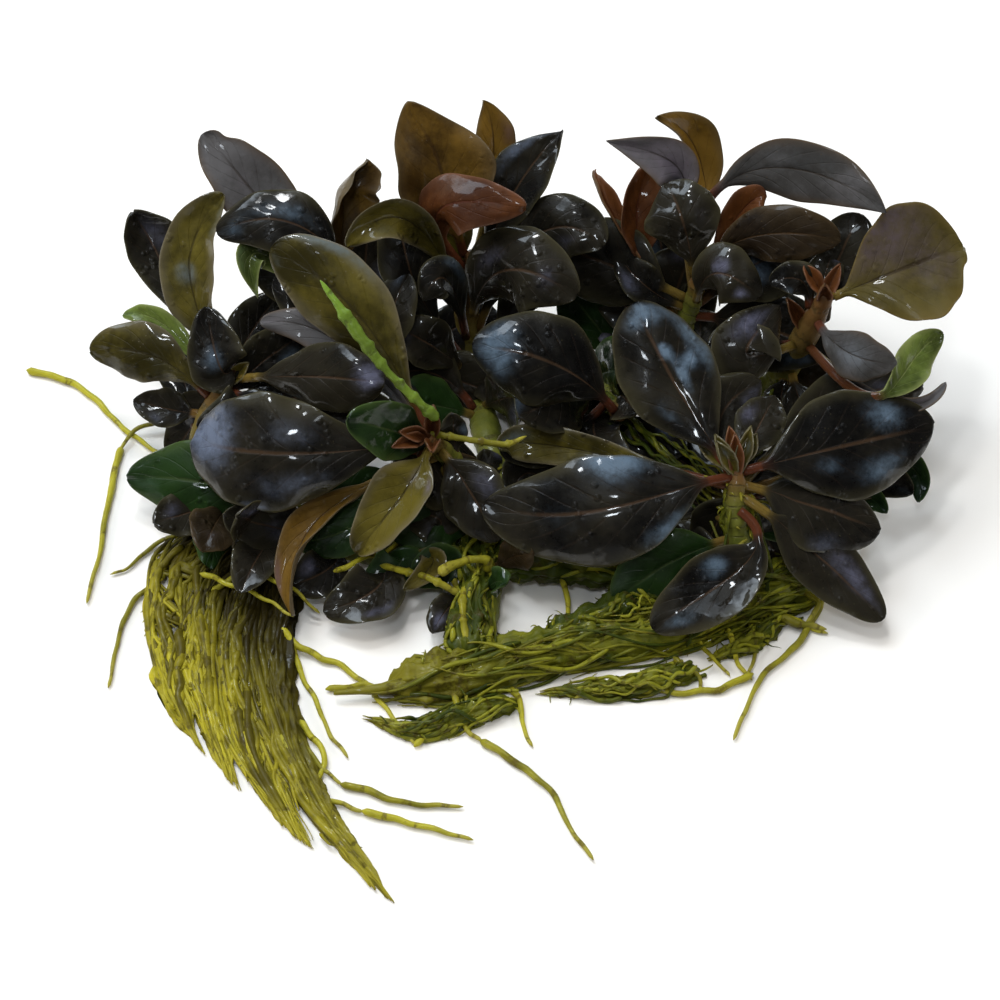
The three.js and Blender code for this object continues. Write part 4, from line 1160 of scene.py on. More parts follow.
# %% Where the clump is still open
OUTLINE = [
    (-54, 42), (-45, 53), (-36, 46), (-26, 44), (-18, 50), (-12, 57), (-3, 58), (1, 50), (8, 52), (9, 45),
    (15, 39), (18, 47), (20, 51), (33, 51), (45, 51), (56, 43), (64, 44), (69, 41), (67, 29), (58, 28),
    (54, 24), (65, 23), (62, 14), (63, 6), (60, -1), (54, -8), (45, -12), (22, -16), (2, -19), (-10, -19),
    (-12, -14), (-22, -14), (-30, -18), (-38, -14), (-50, -8), (-55, 0), (-54, 8), (-48, 14), (-60, 20),
    (-59, 24), (-49, 27), (-53, 33),
]
GAPS = [
    (-1, 10.5, 2.6), (14.5, 34, 1.6), (4, -16, 4.4), (13, -14, 3.0), (-21, -20, 9.0), (-42.3, 40, 2.4),
    (-40.5, 35, 1.8), (-37.5, 28.5, 3.2), (33, 45, 2.2), (51.5, 27, 2.2), (51, -5.5, 2.0),
]


def picture_place(points):
    """Right and up in the picture, of points in millimetres."""
    depth = EYE_DISTANCE - points @ TO_EYE
    return points[..., 0] * EYE_DISTANCE / depth, points @ PICTURE_UP * EYE_DISTANCE / depth


def inside(right, up, outline):
    """Which places lie in an outline: those whose line to the right crosses it an odd number of times."""
    crossings = np.zeros(np.shape(right), int)
    for (x1, y1), (x2, y2) in zip(outline, [*outline[1:], outline[0]]):
        if y1 != y2:
            at = x1 + (up - y1) / (y2 - y1) * (x2 - x1)
            crossings += ((up > min(y1, y2)) & (up <= max(y1, y2)) & (right < at)).astype(int)
    return crossings % 2 == 1


def in_gaps(right, up):
    return np.any([(right - x) ** 2 + (up - y) ** 2 < size ** 2 for x, y, size in GAPS], axis=0)


def tree_of(skins):
    """Something to shoot rays at, made of skins."""
    points, faces, count = [], [], 0
    for made in skins:
        for corners, quads in zip(made.points, made.quads):
            points.append(corners)
            faces.append(quads - quads.min() + count)
            count += len(corners)
    return BVHTree.FromPolygons(np.concatenate(points).tolist(), np.concatenate(faces).tolist())


def solids_tree():
    """The same for the frame's solids, in millimetres."""
    points, faces = [], []
    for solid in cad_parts.values():
        faces += [[len(points) + corner for corner in face.vertices] for face in solid.data.polygons]
        points += [vertex.co / MM for vertex in solid.data.vertices]
    return BVHTree.FromPolygons(points, faces)


def open_places(tree):
    """The places in the outline and out of the gaps where the eye still sees the ground."""
    right, up = (grid.ravel() for grid in np.meshgrid(np.arange(-62.0, 70.0), np.arange(-20.0, 60.0)))
    wanted = inside(right, up, OUTLINE) & ~in_gaps(right, up)
    places = np.stack([right[wanted], up[wanted]], axis=-1)
    seen = places[:, :1] * [1, 0, 0] + places[:, 1:] * PICTURE_UP
    hit = [tree.ray_cast(Vector(EYE), Vector(way))[0] for way in unit(seen - EYE)]
    return places[[point is None for point in hit]]


solids = solids_tree()
tree = tree_of(visible_skins + list(fill_skins.values()))
holes = open_places(tree)
print("the eye sees the ground at", len(holes), "places inside the outline")

# %% [markdown]
# The leaves for these places are grown by trial, because placing them by hand would take dozens
# of guesses. One is drawn at random from a stem to such a place. It stays if it closes enough of
# the hole, keeps close to the solids, hardly touches another leaf and hides little of the leaves
# that are already there. The random numbers are seeded, so the same leaves grow every time.

# %% Leaves that close the clump
TRIES = 75000
CLOSING_FINISHES = ["dark", "dark", "dark", "dark", "dark", "dark", "green", "umber"]
# The sprouts in front stay in sight
IN_SIGHT = (-5.5, -10.3, 4.2)
NEAR_SOLID = 6.5
CLEARANCE = 0.4
FEW = 0.2
MOST_HIDDEN = 0.35
FIRST_GAIN = 14
LAST_GAIN = 2
NEAREST = 4
FARTHEST = 16
LOWEST = 0.6
MOST_IN_GAPS = 0.03
LEAST_INSIDE = 0.95


def random_leaf(draws, name, right, up):
    """A leaf from some stem across this place of the picture, or none if no stem is near enough."""
    stem = draws.choice([LEFT, BACK_LEFT, FRONT_LEFT, CROSS, MIDDLE, BACK_RIGHT, BACK, RIGHT])
    at = draws.uniform(0.1, 0.98)
    centre = STEM_PATHS[stem].at(at)
    target = place(right, up, draws.uniform(2, 30))
    away = target - centre
    if not NEAREST < np.linalg.norm(away) < FARTHEST:
        return None
    tip = centre + away * draws.uniform(1.25, 1.7)
    length = float(np.linalg.norm(tip - centre))
    halfway = (centre + tip) / 2 + np.array([0, 0, draws.uniform(0.3, 2.2)])
    base = centre + unit(halfway - centre) * (stem_radius(stem, at) - 0.4)
    shape = dict(roll=draws.uniform(-25, 25), fold=5, stalk=0.15, cup=draws.uniform(-40, 10), wave=0.5)
    line = [base, 2 * halfway - base / 2 - tip / 2, tip]
    return leaf_rings(name, line, draws.uniform(0.42, 0.62) * length, grid=COARSE, **shape)


def fits(rings, tree, solids, others):
    """Whether such a leaf keeps to its bounds, touches nothing and hides next to nothing."""
    points = rings[7::3, ::3].reshape(-1, 3)
    right, up = picture_place(points)
    if points[:, 2].min() < LOWEST or in_gaps(right, up).mean() > MOST_IN_GAPS:
        return False
    if inside(right, up, OUTLINE).mean() < LEAST_INSIDE:
        return False
    if np.any(np.hypot(right - IN_SIGHT[0], up - IN_SIGHT[1]) < IN_SIGHT[2]):
        return False
    if np.mean([solids.find_nearest(Vector(point), NEAR_SOLID)[0] is None for point in points]) > FEW:
        return False
    if len(others):
        gaps = np.linalg.norm(points[:, None] - others[None], axis=-1).min(axis=1)
        if np.mean(gaps < 2 * CLEARANCE) > FEW:
            return False
    if np.mean([tree.find_nearest(Vector(point), CLEARANCE)[0] is not None for point in points]) > FEW:
        return False
    hits = [(tree.ray_cast(Vector(EYE), Vector(unit(p - EYE)))[3], np.linalg.norm(p - EYE)) for p in points]
    covers = np.mean([first is not None and first > distance for first, distance in hits])
    return covers <= MOST_HIDDEN


draws = draws_for("closing leaves")
others = np.zeros((0, 3))
grown = 0
for attempt in range(TRIES):
    made = random_leaf(draws, f"closing leaf {attempt}", *holes[draws.integers(len(holes))])
    if made is None:
        continue
    rings, marks = made
    rim_column = rings.shape[1] // 2
    right, up = picture_place(np.concatenate([rings[:, 0], rings[::-1, rim_column]]))
    closed = inside(holes[:, 0], holes[:, 1], list(zip(right, up)))
    wanted = FIRST_GAIN + (LAST_GAIN - FIRST_GAIN) * attempt / TRIES
    if closed.sum() >= wanted and fits(rings, tree, solids, others):
        finish = draws.choice(CLOSING_FINISHES)
        fill_skins.setdefault(finish, Skin()).add(rings, marks, draws.uniform(0, 1))
        others = np.concatenate([others, rings[5::2, ::2].reshape(-1, 3)])
        holes = holes[~closed]
        grown += 1
for finish, skin in fill_skins.items():
    skin.piece(f"small_{finish}_leaves", LEAF_FINISHES[finish], LEAF_SLOTS[finish])
print(grown, "leaves grew in", TRIES, "tries, and", len(holes), "places are still open")

# %% [markdown]
# The old flower stalk is the bright green line in front of the left leaves. It is fleshy, with
# knots where its bracts sat, and its upper third swells into a wavy green spathe. A shorter olive
# sprig leaves the same crown to the right, and three yellow-green sprouts curl up where the
# rhizomes cross, one of them with a round knob at each end.

# %% Flower stalk and sprouts
STALK_PLACES = [(-9.3, 12, 21.5), (-12.5, 15, 25), (-17.5, 20, 29.5), (-27, 33, 38.5)]
SPROUTS = {
    "sprig": ([(-11.5, 10, 18), (-8, 9.6, 18), (-3, 8.8, 17.5), (1, 8.4, 17), (4, 9.6, 17)],
              [0.5, 0.5, 0.4, 0.5, 0.2], (0.25, 0.55, 0.8)),
    "knobbed_sprout": ([(-1.5, -10.5, 4.5), (-2, -9.2, 6.5), (-4.5, -8.9, 7.2), (-9.3, -10.9, 7)],
                       [1.15, 0.55, 0.6, 0.95], (0.02, 0.97)),
    "left_sprout": ([(-18, -9.8, 5.5), (-13, -11, 6), (-9.5, -12.2, 6), (-6, -14.3, 4)],
                    [0.45, 0.5, 0.5, 0.5], (0.35, 0.7)),
    "front_sprout": ([(-5.3, -12.6, 5), (-5.6, -15.5, 5.2), (-5.4, -19, 4.5), (-4.5, -22.5, 3)],
                     [0.4, 0.55, 0.5, 0.5], (0.3, 0.6)),
}


KNOTTED_SIDES = 16


def knotted(name, places, widths, knots):
    """A fleshy shoot: its radii are given at even steps, and it has knots at some shares."""
    path = Path([place(*p) for p in places])
    shares = np.linspace(0, 1, max(24, round(path.length * 3)))
    radii = np.interp(shares, np.linspace(0, 1, len(widths)), widths)
    radii = radii + sum(0.25 * np.exp(-(((shares - at) / 0.018) ** 2)) for at in knots)
    radii = radii * np.sqrt(np.clip(np.minimum(shares, 1 - shares) * path.length / 0.8, 0.03, 1))
    uneven = 1 + 0.2 * lumps(draws_for(name), shares, KNOTTED_SIDES, path.length / 6)
    rings = tube_rings(path.at(shares), radii[:, None] * uneven, KNOTTED_SIDES)
    return rings, tube_marks(len(shares), KNOTTED_SIDES), path


rings, marks, path = knotted(
    "flower_stalk", STALK_PLACES, [0.8, 0.7, 0.6, 0.55, 0.6, 0.8, 0.95, 0.75, 0.5, 0.2],
    (0.08, 0.2, 0.31, 0.45, 0.57, 0.78),
)
skin = Skin()
skin.add(rings, marks, 0.6)
skin.piece("flower_stalk_skin", STEM_FINISHES["stalk"], "stalk", ["flower_stalk"])
skin = Skin()
for name, (places, widths, knots) in SPROUTS.items():
    rings, marks, _ = knotted(name, places, widths, knots)
    skin.add(rings, marks, 0.1 if name == "sprig" else 0.35)
skin.piece("sprouts", STEM_FINISHES["root"], "root")
print("the flower stalk is", round(path.length), "mm long, and there are", len(SPROUTS), "sprouts")

# %% [markdown]
# Each free root is a long thin tube that tapers to its tip, never quite straight and never quite
# round. The six large ones have solids. Thinner ones branch off between them and join them to the
# brush and the mat that they grow from.

# %% Free roots
ROOT_RADIUS = 0.6
ROOT_TAPER = 0.55
ROOT_HEIGHT = 0.65
ROOT_SIDES = 10
ROOTLET_TAPER = 0.6
ROOTLET_SIDES = 5
ROOTLET_ROWS_PER_MM = 2.5
ROOTLET_LOWEST = 0.02
ROOTS = {
    "far_left_root": [(-71, 19.5), (-64, 17.5), (-55.5, 10), (-50, 6), (-46.3, 2)],
    "left_edge_root": [(-56.8, 8), (-58.3, 2), (-60, -7.5), (-62, -15.5)],
    "upper_pale_root": [(-24, -42.6), (-20, -43.5), (-15, -45.3), (-5.5, -46)],
    "lower_pale_root": [(-20.8, -46.6), (-14, -48.3), (-4, -51)],
    "long_front_root": [(-3, -36), (-0.5, -37.5), (7, -43), (10.5, -49), (14, -54)],
    "right_root": [(47, -14), (48, -15), (45, -21), (39, -27), (35, -36)],
}
THIN_ROOTS = [
    (0.5, [(-46, 11.5, 3), (-50.5, 12, 2.2), (-54.5, 10.5, 1.4), (-57, 7.5, 0.7)]),
    (0.42, [(-48, -5, 1.2), (-52, -7, 0.6), (-55, -9.5, 0.5), (-58.5, -11.2, 0.5)]),
    (0.48, [(-50, -11, 1.2), (-54.5, -15, 0.6), (-57, -19, 0.5), (-57.5, -23, 0.5), (-58.8, -28.2, 0.5)]),
    (0.5, [(-33, -18, 1.5), (-30, -25, 0.8), (-26.5, -33, 0.5), (-22.8, -38.7, 0.5)]),
    (0.55, [(-33, -19, 2), (-30, -22.2, 1.2), (-24, -24.7, 0.6), (-18.8, -29.2, 0.6), (-12.7, -36.7, 0.6)]),
    (0.5, [(-12.9, -37, 0.6), (-11, -35.5, 0.6), (-7.5, -33, 0.7), (-4.5, -30.7, 0.9)]),
    (0.5, [(-26.2, -28.4, 0.6), (-21, -27.8, 0.7), (-15, -28.2, 0.9), (-9, -27, 1.5)]),
    (0.5, [(1.5, -28, 0.9), (2.6, -30, 0.6), (3.3, -33, 0.5), (4.9, -37, 0.5)]),
    (0.55, [(38, -26, 0.7), (33, -28.3, 0.6), (24, -28.8, 0.6), (15, -27.8, 0.6), (11.2, -29.7, 0.6)]),
    (0.45, [(36, -17, 1.2), (38.2, -20, 0.8), (38.4, -23.5, 0.6), (36.8, -27, 0.5)]),
    (0.42, [(29, -19.5, 1.2), (31, -22.5, 0.6), (34.5, -26.4, 0.5)]),
    (0.5, [(42, -17, 1.2), (45.5, -18.5, 0.6), (49.2, -20, 0.5)]),
    (0.45, [(-45, -11, 4.5), (-40, -12.7, 5), (-34.5, -15.3, 4.6), (-31, -17.5, 4.2)]),
    (0.5, [(-28.5, -12.8, 4), (-22, -9.5, 4.6), (-17, -7.5, 4.2), (-12, -4, 4)]),
    (0.45, [(49, -1, 3.5), (51.5, -2.5, 3), (53.6, -5.5, 2.2), (52.5, -8.8, 1.6), (50, -9, 1.2)]),
    (0.5, [(-8, -7, 3), (-6.5, -14, 2.6), (-5.5, -22, 2.2), (-4.8, -32, 0.8)]),
    (0.5, [(-34, -28, 1.6), (-30.5, -35, 1.2), (-27, -40, 0.8), (-23.6, -42.8, 0.65)]),
    (0.6, [(-33, -35, 1.6), (-30, -41, 1.2), (-26, -44.8, 0.8), (-20.4, -46.8, 0.65)]),
    (0.55, [(-7.5, -27, 1.8), (-6.5, -31, 1.2), (-5, -34, 0.8), (-2.6, -36.3, 0.65)]),
    (0.5, [(-30, -33, 1.2), (-26.5, -38, 0.8), (-27.5, -43.5, 0.6), (-24.5, -50, 0.5)]),
    (0.45, [(-44, -14, 1.6), (-38, -11, 4), (-32, -13, 5), (-27, -17, 2)]),
    (0.8, [(40, -17, 1.6), (44, -18.3, 1.2), (49, -19.4, 0.9)]),
    (0.65, [(38, -13.5, 3.4), (43, -12.6, 3), (47.5, -15.5, 1.8), (45.8, -19, 0.9)]),
    (0.5, [(26, -23.5, 1.2), (29.5, -26.5, 0.6), (30, -28.6, 0.5)]),
    (0.5, [(34, -19, 1.6), (35.5, -24, 0.8), (37.8, -27, 0.5)]),
    (0.5, [(9.2, -11, 3), (9.8, -14.5, 2.2), (10.2, -17, 1.6), (10, -20.5, 1.6)]),
]


def root_rings(draws, line, radius, taper, sides=ROOT_SIDES, bent=0.25, rows_per_mm=1.6):
    """A root along a line: it tapers, bends a little and has uneven swellings."""
    path = Path(line)
    shares = np.linspace(0, 1, max(8, round(path.length * rows_per_mm)))
    points = path.at(shares)
    bends = np.sin(2 * math.pi * np.outer(shares, [1.3, 2.9]) * path.length / 15 + draws.uniform(0, TURN, 2))
    held = np.minimum(1, 6 * np.minimum(shares, 1 - shares))
    points[:, :2] += bent * held[:, None] * bends
    ends = np.sqrt(np.clip(np.minimum(shares, 1 - shares) * path.length / (1.2 * radius), 0.05, 1))
    radii = radius * (1 - taper * shares) * ends
    radii = radii[:, None] * (1 + 0.12 * lumps(draws, shares, sides, path.length / 8))
    return tube_rings(points, radii, sides), tube_marks(len(shares), sides)


def add_rootlet(skin, draws, line, radii, bent):
    """A short side root. Its radius is drawn between these two, and it stays above the ground."""
    radius = draws.uniform(*radii)
    rings, marks = root_rings(draws, line, radius, ROOTLET_TAPER, ROOTLET_SIDES, bent, ROOTLET_ROWS_PER_MM)
    rings[..., 2] = np.maximum(rings[..., 2], ROOTLET_LOWEST)
    skin.add(rings, marks, draws.uniform(0, 1))


for name, places in ROOTS.items():
    skin = Skin()
    draws = draws_for(name)
    line = [place(right, up, ROOT_HEIGHT) for right, up in places]
    skin.add(*root_rings(draws, line, ROOT_RADIUS, ROOT_TAPER, bent=0.12), draws.uniform(0.3, 0.9))
    skin.piece(name + "_skin", STEM_FINISHES["root"], "root", [name])
skin = Skin()
draws = draws_for("thin roots")
for radius, places in THIN_ROOTS:
    skin.add(*root_rings(draws, [place(*p) for p in places], radius, 0.5), draws.uniform(0, 0.9))
skin.piece("thin_roots", STEM_FINISHES["root"], "root")
print(len(ROOTS), "large and", len(THIN_ROOTS), "thin free roots")

# %% [markdown]
# Wet roots cling together like wet hair. Such a bundle is built as a felt, a low mass with ridges
# along it, and as single roots that lie half sunk on it and end raggedly. Hair objects would do
# this too, but only mesh is kept in the finished model, so each root is a small tube.

# %% Felts and single roots
LOCK_START_WIDTH = 0.7
LOCK_TAPER = 0.85
LOCK_TAPER_POWER = 2.5
STRAND_SIDES = 7
STRAND_ROWS = 34
FELT_SIDES = 84
FELT_ROWS_PER_MM = 1.5


def strand(skin, draws, line, radius):
    """One thin root, ragged at its end."""
    shares = np.linspace(0, 1, len(line))
    thin = np.interp(shares, [0, 0.04, 0.7, 1], [0.4, 1, 0.8, 0.22])
    kinks = 1 + 0.13 * np.sin(2 * math.pi * draws.uniform(2, 6) * shares + draws.uniform(0, TURN))
    rings = tube_rings(line, radius * (thin * kinks)[:, None], STRAND_SIDES)
    skin.add(rings, tube_marks(len(line), STRAND_SIDES), draws.uniform(0, 1))


def lock_swell(shares):
    return np.minimum(1, LOCK_START_WIDTH + shares) * (1 - LOCK_TAPER * shares ** LOCK_TAPER_POWER)


def wander(draws, shares, size):
    """A line's slow drift to both sides."""
    waves = draws.uniform(0.8, 3.2, 2)
    phases = draws.uniform(0, TURN, 2)
    return size * (np.sin(TURN * waves[0] * shares + phases[0]) + 0.5 * np.sin(12.6 * waves[1] * shares + phases[1]))


def felt(skin, draws, path, half_width, height, first=0.0, last=1.0, mood=0.5, lumpy=0.0):
    """A low mass of roots that have run together, with ridges along it, and flat where it lies."""
    shares = np.linspace(first, last, round((last - first) * path.length * FELT_ROWS_PER_MM))
    angles = np.linspace(0, 2 * math.pi, FELT_SIDES, endpoint=False)[None]
    ends = np.sqrt(np.clip(np.minimum(shares - first, last - shares) * path.length / 2.5, 0.02, 1))
    ridges = np.zeros((len(shares), FELT_SIDES))
    for count, size in ((5, 0.26), (9, 0.24), (14, 0.20), (21, 0.14), (31, 0.09)):
        drift = wander(draws, shares, 1.1)[:, None] + draws.uniform(0, TURN)
        ridges += size * np.sin(count * angles + drift * count ** 0.5)
    along = path.along(np.clip(shares, 0.01, 0.99))
    outward = unit(np.cross(along, [0, 0, 1.0]))
    wide = (half_width(shares) * ends)[:, None]
    high = (height(shares) * ends)[:, None]
    if lumpy:
        ridges = 0.8 * ridges + lumpy * lumps(draws, shares, FELT_SIDES, (last - first) * path.length / 4)
    ridges = ridges * np.minimum(1, wide / 2)
    # The underside draws in, so that it never shows from above
    under = np.where(np.sin(angles) < -0.01, 0.8, 1.0)
    rings = path.at(shares)[:, None] + ((wide + ridges) * under * np.cos(angles))[..., None] * outward[:, None]
    rings[..., 2] += (high + ridges) * np.sin(angles)
    rings[..., 2] = np.maximum(rings[..., 2], np.where(under < 1, 0.0, 0.12))
    skin.add(rings, tube_marks(len(shares), FELT_SIDES), mood)


print("a felt has", FELT_SIDES, "sides, and a single root", STRAND_SIDES)

# %% [markdown]
# The brush on the left is hundreds of thin roots. Its four locks have solids of their outer form,
# and each gets a felt. The single roots follow the same four lines and the lanes between them.
# Towards their ends they cling to the nearest lock, which gives each lock a point of its own.

# %% Brush of roots
BRUSH = {
    "brush_lock_1": [(-45, -3.5), (-50.5, -9), (-52.5, -18), (-51, -28), (-45.5, -37)],
    "brush_lock_2": [(-39.5, -7), (-44.3, -14), (-45.5, -23), (-44.5, -32), (-40.5, -42.5)],
    "brush_lock_3": [(-35.3, -10), (-38.7, -18), (-39.3, -28), (-36.7, -40), (-30.5, -51)],
    "brush_lock_4": [(-30, -11.5), (-32, -21), (-31.5, -33), (-25.5, -47), (-16, -60.5)],
}
BRUSH_STRANDS = 320
DRAWN_IN = 0.87
# Open slits between the roots: lane, share along, length and half width
SLITS = [(0.02, 0.30, 0.06, 0.20), (0.36, 0.42, 0.07, 0.22), (-0.08, 0.52, 0.07, 0.18), (0.45, 0.22, 0.04, 0.17)]
WHOLE_STRANDS = 30
BRUSH_HALF_WIDTH = 2.7
BRUSH_HEIGHT = 2.5
# Each lock's felt: how light it is, darker towards the clump for the painted shade of the leaves above, and the share
# of its length where it starts
FELT_SHADE_MOODS = (0.75, 0.62, 0.50, 0.32)
FELT_STARTS = (0.62, 0.0, 0.0, 0.0)
brush_lines = np.array([[place(right, up, 0) for right, up in places] for places in BRUSH.values()])
brush_middle = brush_lines.mean(axis=0)
draw_in = np.array([DRAWN_IN, DRAWN_IN, DRAWN_IN, DRAWN_IN, 1.0])[None, :, None]
brush_paths = [Path(line) for line in brush_middle + (brush_lines - brush_middle) * draw_in]
brush_skins = [Skin() for _ in brush_paths]
draws = draws_for("brush felt")
for path, skin, mood, first in zip(brush_paths, brush_skins, FELT_SHADE_MOODS, FELT_STARTS):
    felt(
        skin, draws, path, lambda s: BRUSH_HALF_WIDTH * lock_swell(s), lambda s: BRUSH_HEIGHT * lock_swell(s),
        first, 0.96, mood,
    )
draws = draws_for("brush")
for number in range(BRUSH_STRANDS):
    # A lane of 0 is the middle of the first lock, and 3 the middle of the last
    lane = draws.uniform(-0.5, 3.3)
    full = number < WHOLE_STRANDS
    start = 0.0 if full else draws.uniform(0, 0.55)
    end = draws.uniform(0.93, 1.0) if full else min(1.0, start + draws.uniform(0.25, 0.8))
    shares = np.linspace(start, end, STRAND_ROWS)
    lanes = lane + draws.normal(0, 0.35) * (shares - start) + wander(draws, shares, 0.11)
    # Towards its end each root clings to the nearest lock, so that the locks end in points of their own
    lanes = np.clip(lanes + (round(lane) - lanes) * 0.7 * smooth(shares, 0.55, 1.0), -0.6, 3.4)
    for slit_lane, slit_at, slit_length, slit_width in SLITS:
        opening = slit_width * np.exp(-(((shares - slit_at) / slit_length) ** 4))
        away = lanes - slit_lane
        lanes = np.where(np.abs(away) < opening, slit_lane + np.copysign(opening, away), lanes)
    # Outside the outer locks the lanes draw in as the locks thin
    beyond = np.maximum(lanes - 3, 0) + np.minimum(lanes, 0)
    lanes = lanes - beyond + beyond * np.minimum(1, 0.3 + lock_swell(shares)) * np.interp(shares, [0, 1], [0.8, 0.2])
    lower = np.clip(np.floor(lanes), 0, 2).astype(int)
    middles = np.array([path.at(shares) for path in brush_paths])
    row = np.arange(STRAND_ROWS)
    share_over = (lanes - lower)[:, None]
    line = middles[lower, row] * (1 - share_over) + middles[lower + 1, row] * share_over
    edge = np.clip(1 - (np.abs(lanes - 1.5) / 2.15) ** 4, 0.05, 1) * (0.86 + 0.14 * np.cos(2 * math.pi * lanes))
    top = BRUSH_HEIGHT * lock_swell(shares) * edge
    radius = draws.uniform(0.22, 0.4) + 0.3 * (draws.uniform(0, 1) > 0.8)
    sunk = draws.uniform(-0.75, 0.6) + wander(draws, shares, 0.25)
    line[:, 2] += np.maximum(radius * 0.8, top + sunk * radius)
    strand(brush_skins[int(np.clip(round(lane), 0, 3))], draws, line, radius)
print("the brush has", BRUSH_STRANDS, "roots")

# %% [markdown]
# Short side roots make the brush less even. Half of them stand at its outer edges, which they
# make ragged. They are thin tubes too, and go into the skin of the lock that they grow on.

# %% Side roots of the brush
BRUSH_ROOTLETS = 110
for number in range(BRUSH_ROOTLETS):
    at = draws.uniform(0.12, 0.93)
    lane = draws.uniform(-0.3, 3.2) if number % 2 else draws.choice([-0.4, 3.35])
    height = 2.3 * lock_swell(at) * (1 - (abs(lane - 1.5) / 2.15) ** 4)
    beyond = max(lane - 3, 0) + min(lane, 0)
    lane = lane - beyond + beyond * min(1, 0.3 + lock_swell(at)) * (0.8 - 0.6 * at)
    lower = min(2, max(0, math.floor(lane)))
    ends = [path.at(at) for path in brush_paths[lower:lower + 2]]
    start = ends[0] * (1 - lane + lower) + ends[1] * (lane - lower) + [0, 0, max(0.3, height)]
    side = unit(ends[1] - ends[0]) * (1 if lane > 1.5 else -1)
    way = brush_paths[lower].along(at) * draws.uniform(0.8, 2.6) + side * draws.uniform(0.2, 1.1)
    way = way + [0, 0, draws.uniform(-0.1, 0.5)]
    line = [start - 0.4 * side, start + 0.6 * way, start + way + draws.normal(0, 0.4, 3)]
    add_rootlet(brush_skins[int(np.clip(round(lane), 0, 3))], draws, line, (0.16, 0.3), 0.15)
for name, skin in zip(BRUSH, brush_skins):
    skin.piece(name + "_roots", STEM_FINISHES["brush"], "root", [name])
print(BRUSH_ROOTLETS, "side roots stand on the brush")

# %% [markdown]
# The mat is looser: a felt of roots lies along the front rhizome and its three locks, and more
# roots run over it, cross each other and leave it at all angles. Three strands of it bridge the
# hollow between the rhizomes, one climbs along the cross rhizome, and one stands at the right
# shoot. They are all made the same way, as a felt with single roots on it.

# %% Mat of roots along the front rhizome
MAT_HEIGHT = 2.3
MAT = {
    "mat_lock_left": ([(3, -30.5), (-5, -32.5), (-12, -35), (-20, -33)], 4.5),
    "mat_lock_middle": ([(30, -25.5), (22, -28), (14, -28.8), (6, -29)], 4.0),
    "mat_lock_right": ([(43, -17.5), (37, -22), (31.5, -24)], 3.4),
}


def root_bundle(name, places, half_width, height, count, nodes=(), mood=0.4, loose=1.0, last=1.0):
    """A felt of roots along a line, and single roots over it. Widths and heights go by the share along."""
    draws = draws_for(name)
    path = Path([place(*p) for p in places])
    skin = Skin()
    felt(skin, draws, path, half_width, height, last=last, mood=mood, lumpy=0.55)
    for number in range(count):
        start = draws.uniform(-0.02, 0.75)
        shares = np.linspace(start, min(last + 0.03, start + draws.uniform(0.15, 0.5)), STRAND_ROWS)
        inner = np.clip(shares, 0.01, 0.99)
        outward = unit(np.cross(path.along(inner), [0, 0, 1.0]))
        turn = draws.uniform(-0.15, 3.3) + draws.normal(0, 1.6) * (shares - start) + wander(draws, shares, 0.35)
        away = 0.97 + loose * (0.35 * draws.uniform(0, 1) ** 3 + np.abs(wander(draws, shares, 0.04)))
        radius = draws.uniform(0.2, 0.42)
        line = path.at(inner) + path.along(inner) * ((shares - inner) * path.length)[:, None]
        line += outward * (half_width(inner) * away * np.cos(turn))[:, None]
        line[:, 2] = np.maximum(radius, line[:, 2] + height(inner) * away * np.sin(turn))
        right, up = picture_place(line)
        if not in_gaps(right, up).any():
            strand(skin, draws, line, radius)
    for number in range(2 * count // 3):
        # Short curly rootlets that stand off the felt
        at = draws.uniform(0.02, last - 0.03)
        outward = unit(np.cross(path.along(at), [0, 0, 1.0]))
        turn = draws.uniform(0.0, 3.14)
        way = outward * math.cos(turn) + np.array([0, 0, math.sin(turn)])
        start = path.at(at) + way * [half_width(at), half_width(at), height(at)]
        curl = unit(draws.normal(0, 1, 3) + 0.7 * way) * draws.uniform(0.8, 2.6)
        line = [start - 0.4 * way, start + 0.35 * curl + 0.2 * way, start + curl * [1, 1, 0.3]]
        add_rootlet(skin, draws, line, (0.12, 0.22), 0.2)
    skin.piece(name, STEM_FINISHES["mat"], "root", nodes)


for name, (places, width) in MAT.items():
    root_bundle(
        name + "_roots", [(right, up, 0) for right, up in places], lambda s: 0.45 * width * lock_swell(s),
        lambda s: MAT_HEIGHT * lock_swell(s), 26, nodes=[name], loose=1.6,
    )
root_bundle(
    "rhizome_roots", [(right, up, 0) for right, up, _ in STEM_PLACES["front_rhizome"]],
    lambda s: (3.9 + 0.7 * np.sin(9 * s + 1)) * np.interp(s, [0, 0.1, 0.8, 1], [0.6, 1, 1, 0.35]),
    lambda s: (4.0 + 0.3 * np.sin(14 * s)) * np.interp(s, [0, 0.1, 0.8, 1], [0.7, 1, 1, 0.4]), 130, loose=1.2,
    last=0.9,
)
BRIDGES = {
    "upper_bridge_roots": ([(-2, -9, 3), (8, -9.5, 4), (17, -11, 4), (27, -12, 3.5), (37, -13.5, 2.5)], 2.9, 2.6, 30),
    "inner_bridge_roots": ([(6.5, -22, 1.5), (11.5, -19.5, 2), (18, -16.5, 2.5), (27, -16, 2)], 2.6, 2.2, 26),
    "lower_bridge_roots": ([(16, -19, 2), (19.5, -15.5, 3), (27, -14.5, 3), (36, -14.5, 2.5)], 2.6, 2.4, 26),
    "climbing_roots": ([(-5, -25, 1.5), (-4.8, -19, 2.2), (-3.4, -13, 3), (-2.4, -7, 3), (-2, 0, 2)], 2.8, 2.6, 44),
    "crown_roots": ([(36, -13, 4), (36, -8, 8.5), (35.7, -3, 12.5), (35.3, 1.5, 16)], 1.9, 1.6, 30),
}
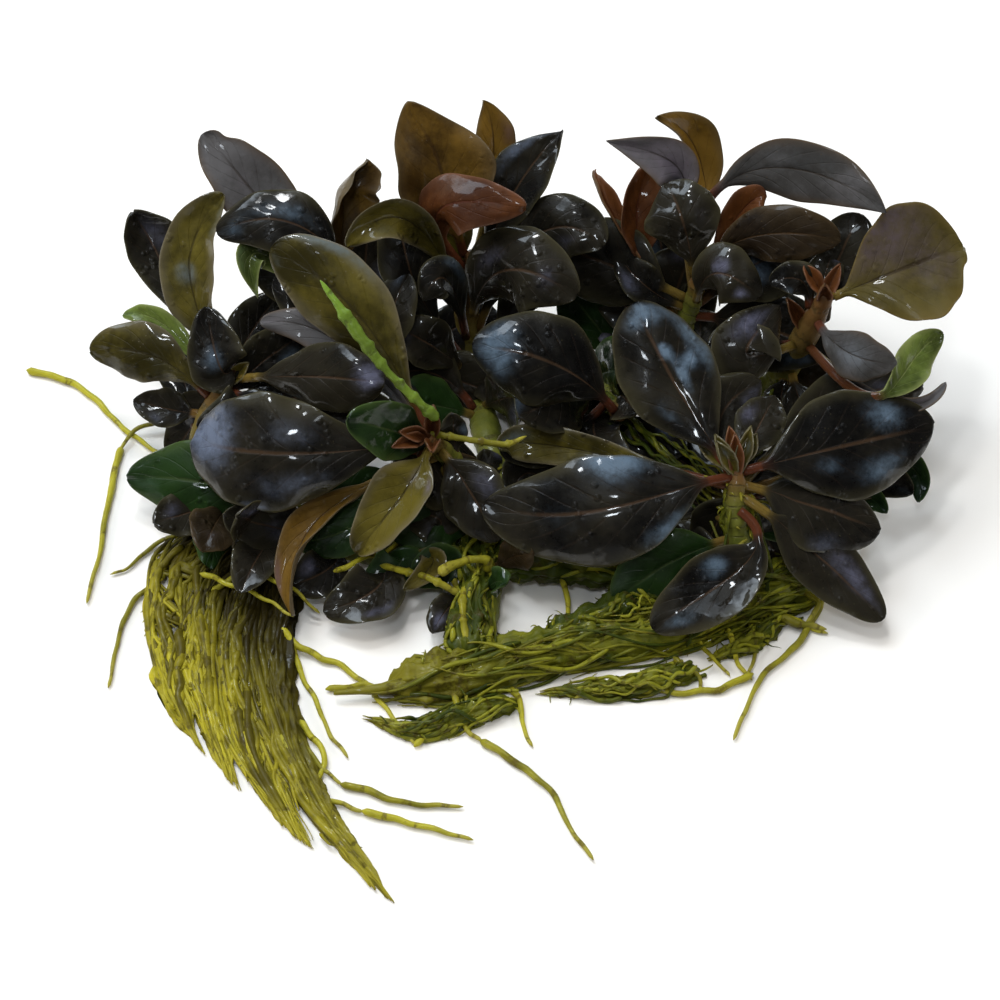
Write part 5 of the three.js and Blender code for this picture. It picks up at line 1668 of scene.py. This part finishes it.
for name, (places, width, height, count) in BRIDGES.items():
    root_bundle(
        name, places, lambda s: width * (1 + 0.15 * np.sin(11 * s)), lambda s: height * (1 + 0.1 * np.sin(8 * s)),
        count, mood=0.15,
    )
print("the mat is", len(MAT) + 1 + len(BRIDGES), "felts with single roots on them")

# %% [markdown]
# Thin roots climb between the stems and hold the clump together. They start on one stem and end
# on another, sag or bow up on the way, and keep out of the open gaps.

# %% Roots between the stems
BINDING_ROOTS = 90
STEM_PAIRS = [
    ("front_rhizome", CROSS, (0.35, 0.8), (0.0, 0.3)), ("front_rhizome", RIGHT, (0.0, 0.35), (0.1, 0.9)),
    (LEFT, CROSS, (0.0, 0.4), (0.1, 0.5)), (LEFT, FRONT_LEFT, (0.0, 0.3), (0.2, 0.9)),
    (CROSS, BACK, (0.3, 0.6), (0.0, 0.5)), (MIDDLE, RIGHT, (0.1, 0.9), (0.1, 0.9)),
    (LEFT, LEFT, (0.2, 0.5), (0.5, 0.9)), (BACK, RIGHT, (0.4, 0.7), (0.2, 0.8)),
]
draws = draws_for("binding roots")
skin = Skin()
kept = 0
while kept < BINDING_ROOTS:
    first, second, first_part, second_part = STEM_PAIRS[draws.integers(len(STEM_PAIRS))]
    start = STEM_PATHS[first].at(draws.uniform(*first_part)) + draws.normal(0, 1.2, 3)
    end = STEM_PATHS[second].at(draws.uniform(*second_part)) + draws.normal(0, 1.2, 3)
    middle = (start + end) / 2 + draws.normal(0, 1.6, 3)
    radius = draws.uniform(0.2, 0.45)
    rings, marks = root_rings(draws, np.array([start, middle, end]), radius, 0.4, sides=7, bent=0.4)
    rings[..., 2] = np.maximum(rings[..., 2], 0.05)
    if not in_gaps(*picture_place(rings.reshape(-1, 3))).any():
        skin.add(rings, marks, draws.uniform(0, 0.4))
        kept += 1
skin.piece("binding_roots", STEM_FINISHES["mat"], "root")
print(BINDING_ROOTS, "roots bind the stems")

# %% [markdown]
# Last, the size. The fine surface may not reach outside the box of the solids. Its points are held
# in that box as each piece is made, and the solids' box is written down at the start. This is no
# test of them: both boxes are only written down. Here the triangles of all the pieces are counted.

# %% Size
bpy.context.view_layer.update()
corners = {o.name: len(o.data.loops) - 2 * len(o.data.polygons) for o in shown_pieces()}
print(sum(corners.values()), "triangles in all, the most in one piece", max(corners.values()))
